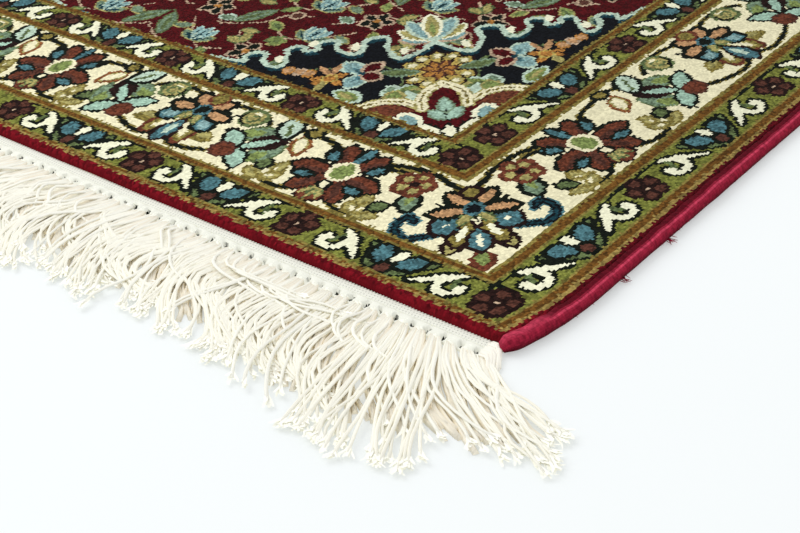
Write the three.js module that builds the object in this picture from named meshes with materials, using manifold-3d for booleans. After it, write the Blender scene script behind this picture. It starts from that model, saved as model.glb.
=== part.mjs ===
// A hand-knotted silk rug lying flat: knotted body, two overcast side cords and two fringed ends.
// Millimetres, +Z up. Origin on the floor at the middle of the rug; Y runs along its length.
import * as THREE from "three";
import { mergeVertices } from "three/addons/utils/BufferGeometryUtils.js";
import Module from "manifold-3d";

const wasm = await Module();
wasm.setup();

// Driving dimensions
const WIDTH = 752; // over the side cords
const PILE_LENGTH = 1172; // from the first row of knots to the last
const THICKNESS = 6.5; // foundation and pile
const CORD = 7; // diameter of a side cord
const GAP = 0.3; // between pieces
const DRAW_IN = 8; // how far a long side is pulled in at its ends
const DRAW_REACH = 56; // length of the stretch that is pulled in
const PILE_ROUND = 2.6; // how far in the top edge of the pile starts to fall
const STRIP_WIDTH = 11.5; // flat woven strip past the last knots
const STRIP_THICKNESS = 3;
const STRIP_ROUND = 0.8;
const STRIP_INSET = 14; // from the widest edge of the rug to the end of the strip
const LOCKS = 83; // locks of fringe at each end, one to a knot
const LOCK_INSET = 4; // from the end of the strip to the outermost lock
const LOCK_ROOT = 2; // how far a lock's root lies inside the strip
const LOCK_CROWN = 0.72; // width of a lock's top as a share of its foot
const FRINGE_REACH = 71;
const CORNER_SPLAY = { angle: 54, reach: 68 }; // lean of the outermost lock in degrees, and where that fades
const FAR_SPLAY = { angle: 18, reach: 40 };
const LEAN_AT_ROOT = 0.55; // share of its lean that a lock has where it leaves the strip
const CORD_SIDES = 12;

const HALF_WIDTH = WIDTH / 2;
const HALF_PILE = PILE_LENGTH / 2;
const SLAB_HALF_WIDTH = HALF_WIDTH - CORD - GAP;
const STRIP_HALF_LENGTH = HALF_WIDTH - STRIP_INSET;
const STRIP_START = HALF_PILE + GAP;
const STRIP_END = STRIP_START + STRIP_WIDTH;

// The pile's edge from its foot to its crown: distance in from the edge, and share of the full thickness.
const PILE_EDGE = [
  { inset: 0, height: 0.55 },
  { inset: PILE_ROUND * 0.3, height: 0.84 },
  { inset: PILE_ROUND, height: 1 },
];
// The rounded end of a side cord: distance from the end, and share of the full girth.
const CORD_END = [
  { fromEnd: 0, girth: 0.5 },
  { fromEnd: 1.2, girth: 0.82 },
  { fromEnd: 4, girth: 1 },
];
// Steps along the drawn-in stretch of a long side, as shares of its reach.
const DRAW_STEPS = [0.25, 0.5, 0.75, 1];
// Sections of a lock from its root to its tip: share of its reach, underside, height and width.
const LOCK_STATIONS = [
  { along: -LOCK_ROOT / FRINGE_REACH, base: 0.7, height: 1.7, width: 3.8 },
  { along: 0.05, base: 0.3, height: 4.6, width: 5.6 },
  { along: 0.28, base: 0.4, height: 7.8, width: 6.2 },
  { along: 0.55, base: 0, height: 6.8, width: 5.7 },
  { along: 0.82, base: 0, height: 4.6, width: 4.6 },
  { along: 1, base: 0, height: 2.6, width: 3.2 },
];
// Slow waves that run through the fringe: how far a lock leans, in degrees, over what length of the end.
const LEAN_WAVES = [
  { lean: 4.2, length: 190, phase: 0.6 },
  { lean: 2.2, length: 74, phase: 2.1 },
  { lean: 1.1, length: 31, phase: 4.4 },
];
const REACH_WAVES = [
  { reach: 2.6, length: 126, phase: 1.2 },
  { reach: 1.8, length: 43, phase: 3.3 },
  { reach: 2.2, length: 17.3, phase: 0.4 },
];

const pileFinish = new THREE.MeshStandardMaterial({ color: 0x8a6a4a, roughness: 0.75, metalness: 0 });
const cordFinish = new THREE.MeshStandardMaterial({ color: 0xa62340, roughness: 0.5, metalness: 0 });
const fringeFinish = new THREE.MeshStandardMaterial({ color: 0xf2eedd, roughness: 0.8, metalness: 0 });

const clamp01 = (value) => Math.min(1, Math.max(0, value));

// How far the long side is pulled in at the distance y from the middle.
function drawIn(y) {
  const t = clamp01((Math.abs(y) - (HALF_PILE - DRAW_REACH)) / DRAW_REACH);
  return DRAW_IN * t * t;
}

function shapeOf(points) {
  return new THREE.Shape(points.map(([u, v]) => new THREE.Vector2(u, v)));
}

// Sweeps a flat section through stations: place(u, v, station) gives each point its real place.
function sweep(section, stations, place) {
  const steps = stations.length - 1;
  const geometry = new THREE.ExtrudeGeometry(section, { depth: steps, steps, bevelEnabled: false });
  const position = geometry.getAttribute("position");
  for (let i = 0; i < position.count; i++) {
    const station = stations[Math.round(position.getZ(i))];
    const point = place(position.getX(i), position.getY(i), station);
    position.setXYZ(i, point.x, point.y, point.z);
  }
  geometry.deleteAttribute("normal");
  geometry.deleteAttribute("uv");
  const merged = mergeVertices(geometry, 1e-4);
  merged.computeVertexNormals();
  return merged;
}

// Stations for the whole length: an end's own rows and its drawn-in stretch, then the same mirrored.
function lengthStations(endRows, fullRow) {
  const half = [...endRows, ...DRAW_STEPS.map((share) => ({ ...fullRow, fromEnd: share * DRAW_REACH }))];
  const first = half.map((row) => ({ ...row, y: HALF_PILE - row.fromEnd }));
  const second = half.map((row) => ({ ...row, y: row.fromEnd - HALF_PILE }));
  return [...first, ...second.reverse()];
}

function solidOf(geometry) {
  return new wasm.Manifold(
    new wasm.Mesh({
      numProp: 3,
      vertProperties: new Float32Array(geometry.getAttribute("position").array),
      triVerts: new Uint32Array(geometry.index.array),
    }),
  );
}

function geometryOf(solid) {
  const mesh = solid.getMesh();
  const geometry = new THREE.BufferGeometry();
  geometry.setAttribute("position", new THREE.BufferAttribute(mesh.vertProperties, 3));
  geometry.setIndex(new THREE.BufferAttribute(mesh.triVerts, 1));
  geometry.computeVertexNormals();
  return geometry;
}

// The knotted body: a flat slab whose pile falls away along every edge.
function rugGeometry() {
  const half = SLAB_HALF_WIDTH;
  const right = PILE_EDGE.map(({ inset, height }) => [half - inset, THICKNESS * height]);
  const left = right.map(([u, v]) => [-u, v]).reverse();
  const section = shapeOf([[-half, 0], [half, 0], ...right, ...left]);
  const endRows = PILE_EDGE.map(({ inset, height }) => ({ fromEnd: inset, height }));
  return sweep(section, lengthStations(endRows, { height: 1 }), (u, v, station) => ({
    x: u * (1 - drawIn(station.y) / half),
    y: station.y,
    z: v * station.height,
  }));
}

// A side cord: round, flat where it lies on the floor, following the drawn-in side.
function cordGeometry() {
  const radius = CORD / 2;
  const points = [];
  for (let i = 0; i < CORD_SIDES; i++) {
    const turn = ((i + 0.5) / CORD_SIDES) * 2 * Math.PI;
    const corner = radius / Math.cos(Math.PI / CORD_SIDES);
    points.push([corner * Math.cos(turn), corner * Math.sin(turn)]);
  }
  return sweep(shapeOf(points), lengthStations(CORD_END, { girth: 1 }), (u, v, station) => ({
    x: HALF_WIDTH - radius - drawIn(station.y) + u * station.girth,
    y: station.y,
    z: (v + radius) * station.girth,
  }));
}

function waveSum(waves, key, x) {
  return waves.reduce((sum, w) => sum + w[key] * Math.sin((x / w.length) * 2 * Math.PI + w.phase), 0);
}

// Which way a lock ends up pointing, in radians away from the rug's length.
function leanAt(x) {
  const near = clamp01(1 - (STRIP_HALF_LENGTH - x) / CORNER_SPLAY.reach);
  const far = clamp01(1 - (STRIP_HALF_LENGTH + x) / FAR_SPLAY.reach);
  const splay = CORNER_SPLAY.angle * near * near - FAR_SPLAY.angle * far * far;
  const calm = 1 - Math.max(near, far);
  return THREE.MathUtils.degToRad(splay + calm * waveSum(LEAN_WAVES, "lean", x));
}

// One lock of fringe from its root in the strip: it bends to its full lean on the way to its tip.
function lockGeometry(x) {
  const lean = leanAt(x);
  const reach = FRINGE_REACH + waveSum(REACH_WAVES, "reach", x);
  const section = shapeOf([
    [-0.5, 0],
    [0.5, 0],
    [LOCK_CROWN / 2, 1],
    [-LOCK_CROWN / 2, 1],
  ]);
  return sweep(section, LOCK_STATIONS, (u, v, station) => {
    const run = station.along * reach;
    const swing = lean * (LEAN_AT_ROOT + (1 - LEAN_AT_ROOT) * station.along);
    const side = u * station.width;
    return {
      x: x + run * Math.sin(swing) + side * Math.cos(swing),
      y: -STRIP_END - run * Math.cos(swing) + side * Math.sin(swing),
      z: station.base + v * station.height,
    };
  });
}

// The flat woven strip with its locks fused to it.
function fringeGeometry() {
  const section = shapeOf([
    [-STRIP_END, 0],
    [-STRIP_START, 0],
    [-STRIP_START, STRIP_THICKNESS],
    [-STRIP_END + STRIP_ROUND, STRIP_THICKNESS],
    [-STRIP_END, STRIP_THICKNESS - STRIP_ROUND],
  ]);
  const ends = [{ x: -STRIP_HALF_LENGTH }, { x: STRIP_HALF_LENGTH }];
  let solid = solidOf(sweep(section, ends, (u, v, station) => ({ x: station.x, y: u, z: v })));
  const first = -STRIP_HALF_LENGTH + LOCK_INSET;
  const pitch = (2 * (STRIP_HALF_LENGTH - LOCK_INSET)) / (LOCKS - 1);
  for (let i = 0; i < LOCKS; i++) {
    solid = solid.add(solidOf(lockGeometry(first + i * pitch)));
  }
  return geometryOf(solid);
}

function named(name, geometry, material) {
  const mesh = new THREE.Mesh(geometry, material);
  mesh.name = name;
  return mesh;
}

// A copy turned half round the middle of the rug.
function turned(mesh) {
  mesh.rotation.z = Math.PI;
  return mesh;
}

const part = new THREE.Group();
part.add(named("rug", rugGeometry(), pileFinish));

const cord = cordGeometry();
part.add(named("side_cord_right", cord, cordFinish));
part.add(turned(named("side_cord_left", cord, cordFinish)));

const fringe = fringeGeometry();
part.add(named("fringe_near", fringe, fringeFinish));
part.add(turned(named("fringe_far", fringe, fringeFinish)));

export default part;
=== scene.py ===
"""A hand-knotted silk rug: floral pile, overcast side cords and fringed ends, dressed around its frame."""

from __future__ import annotations

import logging
import math
from dataclasses import dataclass, field, replace
from enum import Enum
from typing import Callable, Iterator

import numpy as np

import bpy
from mathutils import Matrix, Vector

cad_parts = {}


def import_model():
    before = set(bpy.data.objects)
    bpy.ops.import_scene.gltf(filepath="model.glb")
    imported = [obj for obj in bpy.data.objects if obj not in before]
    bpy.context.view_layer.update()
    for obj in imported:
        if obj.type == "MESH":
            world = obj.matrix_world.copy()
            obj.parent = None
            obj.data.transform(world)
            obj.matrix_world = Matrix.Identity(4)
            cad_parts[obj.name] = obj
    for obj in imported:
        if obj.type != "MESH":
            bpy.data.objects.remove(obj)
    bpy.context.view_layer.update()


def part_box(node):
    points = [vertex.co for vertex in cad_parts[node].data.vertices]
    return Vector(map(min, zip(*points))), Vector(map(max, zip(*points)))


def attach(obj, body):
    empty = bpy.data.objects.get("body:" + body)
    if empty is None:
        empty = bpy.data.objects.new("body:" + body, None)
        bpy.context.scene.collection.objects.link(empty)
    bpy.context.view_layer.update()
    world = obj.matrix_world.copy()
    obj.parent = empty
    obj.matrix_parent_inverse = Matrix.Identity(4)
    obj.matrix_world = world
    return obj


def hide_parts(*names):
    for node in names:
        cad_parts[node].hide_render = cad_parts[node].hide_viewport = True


LOG = logging.getLogger("silk_rug")
MM = 0.001

Array = np.ndarray
Point = tuple[float, float]
Inside = Callable[[Array, Array, float], Array]
Colour = tuple[int, int, int]


class Silk(Enum):
    """The dyed yarns of the pile, as sRGB colours, and one crimson darkened as painted shade."""

    WINE = (80, 15, 20)
    CRIMSON = (111, 19, 30)
    # Crimson darkened as painted shade, for the outer band in the groove beside the side cords.
    GARNET = (88, 13, 24)
    CREAM = (223, 217, 184)
    BROWN = (109, 77, 34)
    KHAKI = (129, 117, 63)
    MOSS = (119, 123, 60)
    SAGE = (96, 110, 72)
    INK = (20, 26, 18)
    PLUM = (40, 23, 20)
    MAROON = (86, 54, 44)
    RUST = (106, 60, 43)
    CLAY = (130, 84, 50)
    BLUE = (78, 115, 121)
    PALE_BLUE = (134, 164, 162)
    TEAL = (26, 60, 68)
    NAVY = (18, 21, 26)
    LEAF = (126, 140, 84)
    SEA = (116, 136, 112)
    AQUA = (156, 184, 166)
    SALMON = (180, 142, 104)
    STRAW = (160, 152, 98)
    MILK = (226, 225, 198)
    FOAM = (180, 198, 180)
    GOLD = (180, 158, 88)
    AMBER = (166, 119, 62)
    BLUSH = (180, 158, 134)
    TAN = (146, 126, 74)


YARNS = list(Silk)
WINE, CRIMSON, GARNET, CREAM, BROWN, KHAKI, MOSS, SAGE, INK, PLUM, MAROON, RUST, CLAY, BLUE = YARNS[:14]
PALE_BLUE, TEAL, NAVY, LEAF, SEA, AQUA, SALMON, STRAW, MILK, FOAM, GOLD, AMBER, BLUSH, TAN = YARNS[14:]


@dataclass(frozen=True)
class Pose:
    """Where a motif stands on the chart, in knots from the outer corner of the cream border."""

    x: float
    y: float
    turn: float = 0.0
    size: float = 1.0
    flip: bool = False
    swap: bool = False

    def both(self) -> tuple[Pose, Pose]:
        """Return the pose and its mirror image, for motifs with two like halves."""
        return self, replace(self, flip=not self.flip)

    def local(self, x: Array, y: Array) -> tuple[Array, Array]:
        """Take chart places into the motif's own frame.

        Args:
            x: Places across the rug, in knots.
            y: Places along the rug, in knots.

        Returns:
            The same places along the motif's own two axes.
        """
        dx, dy = x - self.x, y - self.y
        if self.swap:
            dx, dy = dy, dx
        cos, sin = math.cos(math.radians(self.turn)), math.sin(math.radians(self.turn))
        a, b = (dx * cos + dy * sin) / self.size, (dy * cos - dx * sin) / self.size
        return (-a, b) if self.flip else (a, b)


def smooth_path(points: list[Point], per_span: int = 10) -> Array:
    """Run a smooth curve through a few points.

    Args:
        points: The points, in order.
        per_span: Samples between two neighbours.

    Returns:
        The sampled curve as an array of pairs.
    """
    pts = np.array([points[0], *points, points[-1]], float)
    steps = np.linspace(0.0, 1.0, per_span, endpoint=False)[:, None]
    spans = []
    for a, b, c, d in zip(pts[:-3], pts[1:-2], pts[2:-1], pts[3:]):
        cubic = (3 * b - a - 3 * c + d) * steps**3 + (2 * a - 5 * b + 4 * c - d) * steps**2
        spans.append(0.5 * (cubic + (c - a) * steps + 2 * b))
    return np.vstack([*spans, pts[-1:]])


def arc(middle: Point, radii: Point, start: float, stop: float, steps: int = 8) -> list[Point]:
    """Return points along an oval's edge.

    Args:
        middle: The oval's middle.
        radii: Its two radii.
        start: Where the arc starts, in degrees.
        stop: Where it ends, in degrees.
        steps: How many points it has.

    Returns:
        The points, in order.
    """
    turns = np.radians(np.linspace(start, stop, steps))
    return [(middle[0] + radii[0] * math.cos(t), middle[1] + radii[1] * math.sin(t)) for t in turns]


def on_oval(turn: float, across: float, up: float) -> Point:
    """Return the place on an oval of two radii at a turn in degrees."""
    return across * math.cos(math.radians(turn)), up * math.sin(math.radians(turn))


@dataclass
class KnotChart:
    """One quarter of the rug's knots, painted motif by motif and mirrored to the whole."""

    columns: int
    rows: int
    corner_column: float
    corner_row: float
    ragged: float = 0.26
    bold: float = 1.25
    seed: int = 7
    yarn: Array = field(init=False)
    x: Array = field(init=False)
    y: Array = field(init=False)
    clip: Array = field(init=False)

    def __post_init__(self) -> None:
        """Lay out the knots of the quarter, counted from the corner of the cream border."""
        self.x, self.y = np.meshgrid(
            np.arange(self.columns) + 0.5 - self.corner_column, np.arange(self.rows) + 0.5 - self.corner_row
        )
        rng = np.random.default_rng(self.seed)
        self.x += rng.uniform(-self.ragged, self.ragged, self.x.shape)
        self.y += rng.uniform(-self.ragged, self.ragged, self.y.shape)
        self.yarn = np.zeros(self.x.shape, np.uint8)
        self.clip = np.ones(self.x.shape, bool)

    def window(self, pose: Pose, reach: float) -> tuple[slice, slice]:
        """Find the part of the chart that a motif can touch.

        Args:
            pose: Where the motif stands.
            reach: Its largest radius, in its own units.

        Returns:
            The rows and columns of that part.
        """
        r = reach * pose.size + 2.0
        cx, cy = pose.x + self.corner_column, pose.y + self.corner_row
        across = slice(max(0, math.floor(cx - r)), max(0, math.ceil(cx + r)))
        along = slice(max(0, math.floor(cy - r)), max(0, math.ceil(cy + r)))
        return along, across

    def fill(
        self,
        pose: Pose,
        reach: float,
        inside: Inside,
        yarn: Silk,
        edge: Silk | None = None,
        rim: float = 1.0,
    ) -> None:
        """Knot every place of a shape, its outline first.

        Args:
            pose: Where the motif stands.
            reach: Its largest radius, in its own units.
            inside: Says which places of the motif's own frame the shape holds, grown by a width.
            yarn: The shape's yarn.
            edge: The yarn of its outline, if any.
            rim: The outline's width.
        """
        part = self.window(pose, reach)
        a, b = pose.local(self.x[part], self.y[part])
        for tone, grow in ((edge, rim * self.bold), (yarn, 0.0)):
            if tone is not None:
                self.yarn[part][inside(a, b, grow) & self.clip[part]] = YARNS.index(tone)

    def disc(
        self, pose: Pose, at: Point, radii: Point, yarn: Silk, edge: Silk | None = None, rim: float = 1.0
    ) -> None:
        """Knot an oval.

        Args:
            pose: Where the motif stands.
            at: The oval's middle.
            radii: Its two radii.
            yarn: Its yarn.
            edge: The yarn of its outline, if any.
            rim: The outline's width.
        """

        def inside(a: Array, b: Array, grow: float) -> Array:
            """Say which places lie in the oval, grown by its outline."""
            return ((a - at[0]) / (radii[0] + grow)) ** 2 + ((b - at[1]) / (radii[1] + grow)) ** 2 <= 1.0

        self.fill(pose, math.hypot(*at) + max(radii) + rim, inside, yarn, edge, rim)

    def petal(
        self,
        pose: Pose,
        at: Point,
        turn: float,
        length: float,
        width: float,
        yarn: Silk,
        edge: Silk | None = None,
        fat: float = 1.0,
        rim: float = 1.0,
    ) -> None:
        """Knot a pointed petal or leaf that grows from a point.

        Args:
            pose: Where the motif stands.
            at: The petal's base.
            turn: The way it points, in degrees.
            length: How long it is.
            width: How wide it is.
            yarn: Its yarn.
            edge: The yarn of its outline, if any.
            fat: Above 1 it is widest near its tip, below 1 near its base.
            rim: The outline's width.
        """
        cos, sin = math.cos(math.radians(turn)), math.sin(math.radians(turn))
        reach = math.hypot(*at) + length + rim + width

        def inside(a: Array, b: Array, grow: float) -> Array:
            """Say which places lie in the petal, grown by its outline."""
            run = ((a - at[0]) * cos + (b - at[1]) * sin + grow) / (length + 2 * grow)
            side = np.abs((b - at[1]) * cos - (a - at[0]) * sin)
            bulge = np.sin(np.pi * np.clip(run, 0.0, 1.0) ** fat) ** 0.8
            return (run >= 0.0) & (run <= 1.0) & (side <= (width / 2 + grow) * bulge + 0.15)

        self.fill(pose, reach, inside, yarn, edge, rim)

    def vine(
        self,
        pose: Pose,
        points: list[Point],
        yarn: Silk,
        width: float = 1.5,
        tip: float | None = None,
        edge: Silk | None = None,
        rim: float = 1.0,
    ) -> None:
        """Knot a line that curves through points.

        Args:
            pose: Where the motif stands.
            points: The points that it runs through.
            yarn: Its yarn.
            width: Its width where it starts.
            tip: Its width where it ends, if that differs.
            edge: The yarn of its outline, if any.
            rim: The outline's width.
        """
        path = smooth_path(points)
        half = np.linspace(width, width if tip is None else tip, len(path)) / 2
        reach = float(np.hypot(path[:, 0], path[:, 1]).max()) + width + rim

        def inside(a: Array, b: Array, grow: float) -> Array:
            """Say which places lie within the line's width, grown by its outline."""
            held = np.zeros(a.shape, bool)
            for (px, py), h in zip(path, half):
                held |= (a - px) ** 2 + (b - py) ** 2 <= (h + grow) ** 2
            return held

        self.fill(pose, reach, inside, yarn, edge, rim)

    def area(self, pose: Pose, points: list[Point], yarn: Silk) -> None:
        """Knot the area inside a smooth closed line.

        Args:
            pose: Where the motif stands.
            points: The points that the line runs through.
            yarn: The area's yarn.
        """
        path = smooth_path([*points, points[0]], 6)
        reach = float(np.hypot(path[:, 0], path[:, 1]).max())

        def inside(a: Array, b: Array, _: float) -> Array:
            """Say which places lie inside, by counting the times the line is crossed."""
            held = np.zeros(a.shape, bool)
            for (x0, y0), (x1, y1) in zip(path[:-1], path[1:]):
                slope = (x1 - x0) / (y1 - y0 or 1e-9)
                held ^= ((y0 > b) != (y1 > b)) & (a < x0 + slope * (b - y0))
            return held

        self.fill(pose, reach, inside, yarn)

    def whole(self) -> Array:
        """Return the whole rug's yarns: the quarter mirrored to both sides and both ends."""
        half = np.hstack([self.yarn, self.yarn[:, ::-1]])
        return np.vstack([half, half[::-1]])


@dataclass(frozen=True)
class Band:
    """One band of the border, with the knots where it ends on a long side and at an end."""

    yarn: Silk
    side: float
    end: float


class Place(Enum):
    """The bands that carry ornament."""

    OUTER_GUARD = 4
    MAIN = 8
    INNER_GUARD = 12
    FIELD = 16


# From the edge of the pile inwards, counted from the outer edge of the cream band.
BANDS = [
    Band(CRIMSON, -29.0, -22.4),
    Band(TAN, -27.1, -21.4),
    Band(BROWN, -24.3, -20.4),
    Band(KHAKI, -23.1, -19.3),
    Band(MOSS, -5.2, -4.3),
    Band(KHAKI, -4.2, -3.3),
    Band(BROWN, -1.0, -0.9),
    Band(KHAKI, 0.5, 0.4),
    Band(CREAM, 43.9, 40.6),
    Band(KHAKI, 45.6, 42.3),
    Band(BROWN, 48.4, 44.7),
    Band(KHAKI, 49.4, 45.6),
    Band(MOSS, 65.0, 58.6),
    Band(KHAKI, 66.2, 59.7),
    Band(BROWN, 68.8, 61.6),
    Band(KHAKI, 70.0, 62.4),
    Band(WINE, 9e9, 9e9),
]


# The order in which a flower's five petals are laid.
FIVE_TURNS = (90, 18, 162, 234, 306)


class Ornament(KnotChart):
    """The motifs of the rug, each drawn by formula in knots."""

    def guard_rosette(self, pose: Pose) -> None:
        """Draw the small brown rosette of the guard bands."""
        for radii, yarn in (((3.9, 4), PLUM), ((2.2, 2.3), MAROON)):
            for turn in FIVE_TURNS:
                self.disc(pose, on_oval(turn, 4.9, 5.2), radii, yarn)
        self.disc(pose, (0, -0.3), (1.7, 1.8), PLUM)
        self.disc(pose, (0, -0.3), (0.8, 0.8), BLUSH)

    def guard_scroll(self, pose: Pose) -> None:
        """Draw the white hooked scroll of the guard bands, open towards the rosette."""
        root = [(-4, 6.2), (-1, 4), (2.8, 0.8)]
        blade = [(1.4, 2), (5.4, -1.8), (9.8, -5.4)]
        hook = [(-8, 0.4), (-8.4, -1.8), (-6.6, -4.4), (-3.6, -5.2), (-0.8, -4), (0.4, -1.2), (0, 1.6)]
        self.vine(pose, [(-3.6, 6.6), (-9, 7.6), (-15, 7.8), (-21, 7.4)], INK, 1.5)
        for rim in (1.6, 0):
            yarn, more = (INK, 2 * rim) if rim else (MILK, 0)
            self.disc(pose, (-7.6, -0.6), (2.0 + rim, 2.0 + rim), yarn)
            self.vine(pose, hook, yarn, 2.7 + more, 3.0 + more)
            self.vine(pose, root, yarn, 1.8 + more, 4.0 + more)
            self.vine(pose, blade, yarn, 4.0 + more, 0.9 + more)
            if rim:
                self.vine(pose, [(-5.6, -0.8), (-4, 1), (-3.6, 3.4)], SAGE, 2.6, 1.8)
        self.vine(pose, [(3.4, 3), (6.4, 1)], INK, 1.4, 1)

    def butterfly(self, pose: Pose) -> None:
        """Draw the pair of blue leaves with a white bud between them."""
        outer = [(2.6, -7), (7, -4), (10.4, 1), (13.6, 5.6)]
        for wing in pose.both():
            self.vine(wing, outer, SAGE, 2.6, 1.4, INK, 1.2)
            self.petal(wing, (2.4, -3.2), 52, 12, 6.6, BLUE, INK, 1.25, 1.7)
            self.vine(wing, [(9.6, 6.4), (13, 6.6)], INK, 1.6, 1.2)
        self.petal(pose, (0, -1.6), 90, 8.6, 3.8, MILK, INK, 1.5, 1)
        self.disc(pose, (0, -4.4), (2.4, 2.8), MAROON, INK, 1.4)

    def big_rosette(self, pose: Pose) -> None:
        """Draw the large rust rosette with blue petals between and a green heart."""
        petals = ((1, 64, 17.5, 7.8), (-1, -8, 19.5, 8.4), (-2, -57, 18.5, 8.8))
        for edge in (INK, None):
            for half in pose.both():
                for foot, turn, length, width in petals:
                    self.petal(half, (1.5, foot), turn, length, width, RUST, edge, 1.35, 1.3)
        for half in pose.both():
            for foot, turn, length, width in petals:
                self.petal(half, (2.4, foot - 0.8), turn - 4, length * 0.86, width * 0.36, MAROON, None, 1.2)
                a, b = on_oval(turn + 30, 8, 8)
                self.vine(half, [(2, foot), (1.5 + a, foot + b)], PLUM, 1)
            self.petal(half, (8.4, 4.4), 50, 8.4, 3.8, BLUE, INK, 1, 1.4)
            self.petal(half, (8.2, -7), -10, 7.8, 3.4, BLUE, INK, 1.15, 1.4)
            self.vine(half, [(13.4, 9.6), (16, 12.4)], INK, 2.4, 1)
        self.petal(pose, (0, 5), 90, 14.2, 3.5, BLUE, INK, 1.35, 1.3)
        self.petal(pose, (0, -8), -90, 13.6, 10.8, RUST, PLUM, 1.5, 0.8)
        for turn in (-90, -62, -118):
            self.petal(pose, (0, -10), turn, 9.5, 1.9, STRAW, SAGE, 1.2, 0.4)
        self.disc(pose, (0, -9.4), (1.6, 2), CREAM, INK, 1.3)
        self.disc(pose, (0, 0.6), (6.1, 7), CREAM)
        self.disc(pose, (0, 0.5), (4.1, 5.6), LEAF)

    def small_flower(self, pose: Pose) -> None:
        """Draw a five-petalled flower of straw and rust with a green bud on its stem."""
        self.petal(pose, (3.2, -4.6), -62, 12.5, 6.6, SEA, INK, 1, 1.7)
        self.petal(pose, (3.8, -6), -62, 7, 3, LEAF)
        for turn in FIVE_TURNS:
            self.disc(pose, on_oval(turn, 4.5, 4.8), (2, 2.2), STRAW, RUST, 2)
        for turn in FIVE_TURNS:
            self.disc(pose, on_oval(turn, 4.7, 5), (1.6, 1.8), STRAW)
        self.disc(pose, (0, 0), (2, 2), PLUM)

    def leaf_cluster(self, pose: Pose) -> None:
        """Draw a cluster of straw-coloured leaves with a dark green bud."""
        pose = replace(pose, size=0.84 * pose.size)
        leaves = ((2.5, 84, 14.5, 6.4), (3.2, 168, 12.5, 6.6), (2.2, 118, 12, 5.4), (2.4, 40, 8, 4.2))
        for foot, turn, length, width in leaves:
            self.petal(pose, (foot, -5.4), turn, length, width, STRAW, KHAKI, 0.95, 1.5)
            self.petal(pose, (foot, -4.4), turn, length * 0.6, 1.8, CREAM)
        self.petal(pose, (-2.2, 0.2), 128, 8.4, 5.4, SAGE, INK, 1, 1.7)

    def bud(self, pose: Pose) -> None:
        """Draw a slim bud with a white heart."""
        self.petal(pose, (0, -8), 90, 16, 9.4, CLAY, None, 1.1)
        self.petal(pose, (0, -4.6), 90, 10.5, 4.4, CREAM, STRAW, 1.1, 0.7)

    def spiral_flower(self, pose: Pose) -> None:
        """Draw a small coiled flower on a curling stem."""
        self.vine(pose, [(-3.6, 1), (-6.4, 3), (-9.4, -1.4)], INK, 1.8, 1.2)
        self.disc(pose, (0, 0), (4.6, 5), STRAW, SAGE, 1.6)
        self.vine(pose, [(4.4, 2), (4.8, -2.4), (1, -5.4)], INK, 1.5)
        self.vine(pose, [(3, -0.6), (0.6, -2.8), (-2.4, -1), (-1.4, 2.2), (1.2, 1.2)], SAGE, 1.2)
        self.disc(pose, (0.2, 3.2), (2, 0.9), CREAM)

    def palmette(self, pose: Pose) -> None:
        """Draw the upright palmette: orange petals above a fan of blue and straw."""
        for half in pose.both():
            self.petal(half, (9.5, -12.5), -18, 12.5, 8.2, KHAKI, None, 0.9)
            self.petal(half, (11, -12), -14, 8.5, 3.6, STRAW, None, 0.9)
            self.petal(half, (1, -5), -64, 19.5, 8.2, KHAKI, RUST, 1.25, 1.5)
            self.petal(half, (3, -8.4), -65, 12, 3.2, CREAM, STRAW, 1.1, 0.8)
            self.petal(half, (3.2, -2.6), -42, 12.8, 7.4, BLUE, INK, 1.5, 1.6)
            self.petal(half, (6.6, -5.6), -42, 7.2, 4.6, PALE_BLUE, None, 1.2)
            self.vine(half, [(6, 7), (8.8, 11.6)], INK, 3.2, 1)
            self.vine(half, [(12.6, -0.6), (15.8, 4.2)], INK, 3, 1)
            self.petal(half, (3.4, -0.2), -4, 11.4, 4.8, SALMON, INK, 1.2, 2.1)
            self.petal(half, (2, 2.2), 52, 9.8, 5, SALMON, INK, 1.2, 2.1)
            self.petal(half, (0.8, -1.6), -62, 9, 2.4, STRAW, SAGE, 1, 0.7)
        self.petal(pose, (0, -9), -90, 17.5, 7, BLUE, PLUM, 1.2, 1.4)
        self.petal(pose, (0, -12), -90, 9.5, 3, FOAM)
        self.disc(pose, (0, 9.6), (3.4, 3.6), KHAKI, RUST, 1.2)
        self.vine(pose, [(0, -1), (0, -8.4)], INK, 1.6, 1)
        self.disc(pose, (0, 0), (2.7, 3.1), INK, BLUE)

    def split_palmette(self, pose: Pose) -> None:
        """Draw the leaning palmette of two green lobes round a dark cup."""
        for half in pose.both():
            self.petal(half, (10.2, -6.2), 106, 18, 8.4, SEA, SAGE, 1, 0.8)
            self.petal(half, (10, -5.8), 104, 10.5, 5.4, LEAF, None, 0.85)
        self.petal(pose, (0, -6.5), 90, 20.5, 11, PLUM, None, 1.2)
        self.vine(pose, [(-0.5, 9.5), (1, 12.4), (4.6, 14.2)], PLUM, 5, 2.4)
        self.petal(pose, (0, -5.6), 90, 14.5, 3.8, AQUA)
        self.petal(pose, (1.2, 11.4), 20, 15, 8, FOAM, INK, 1, 1.7)
        self.vine(pose, [(3.5, 12.4), (11.5, 15)], SAGE, 2, 1.2)
        for half in pose.both():
            self.vine(half, [(11, -7.8), (15.8, -10.4)], INK, 3, 1)
            self.petal(half, (0.4, -7.2), -4, 14, 6.4, AQUA, INK, 1, 1.5)
        self.disc(pose, (0.4, -12.4), (4.6, 4.4), RUST, MAROON, 0.9)

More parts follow.
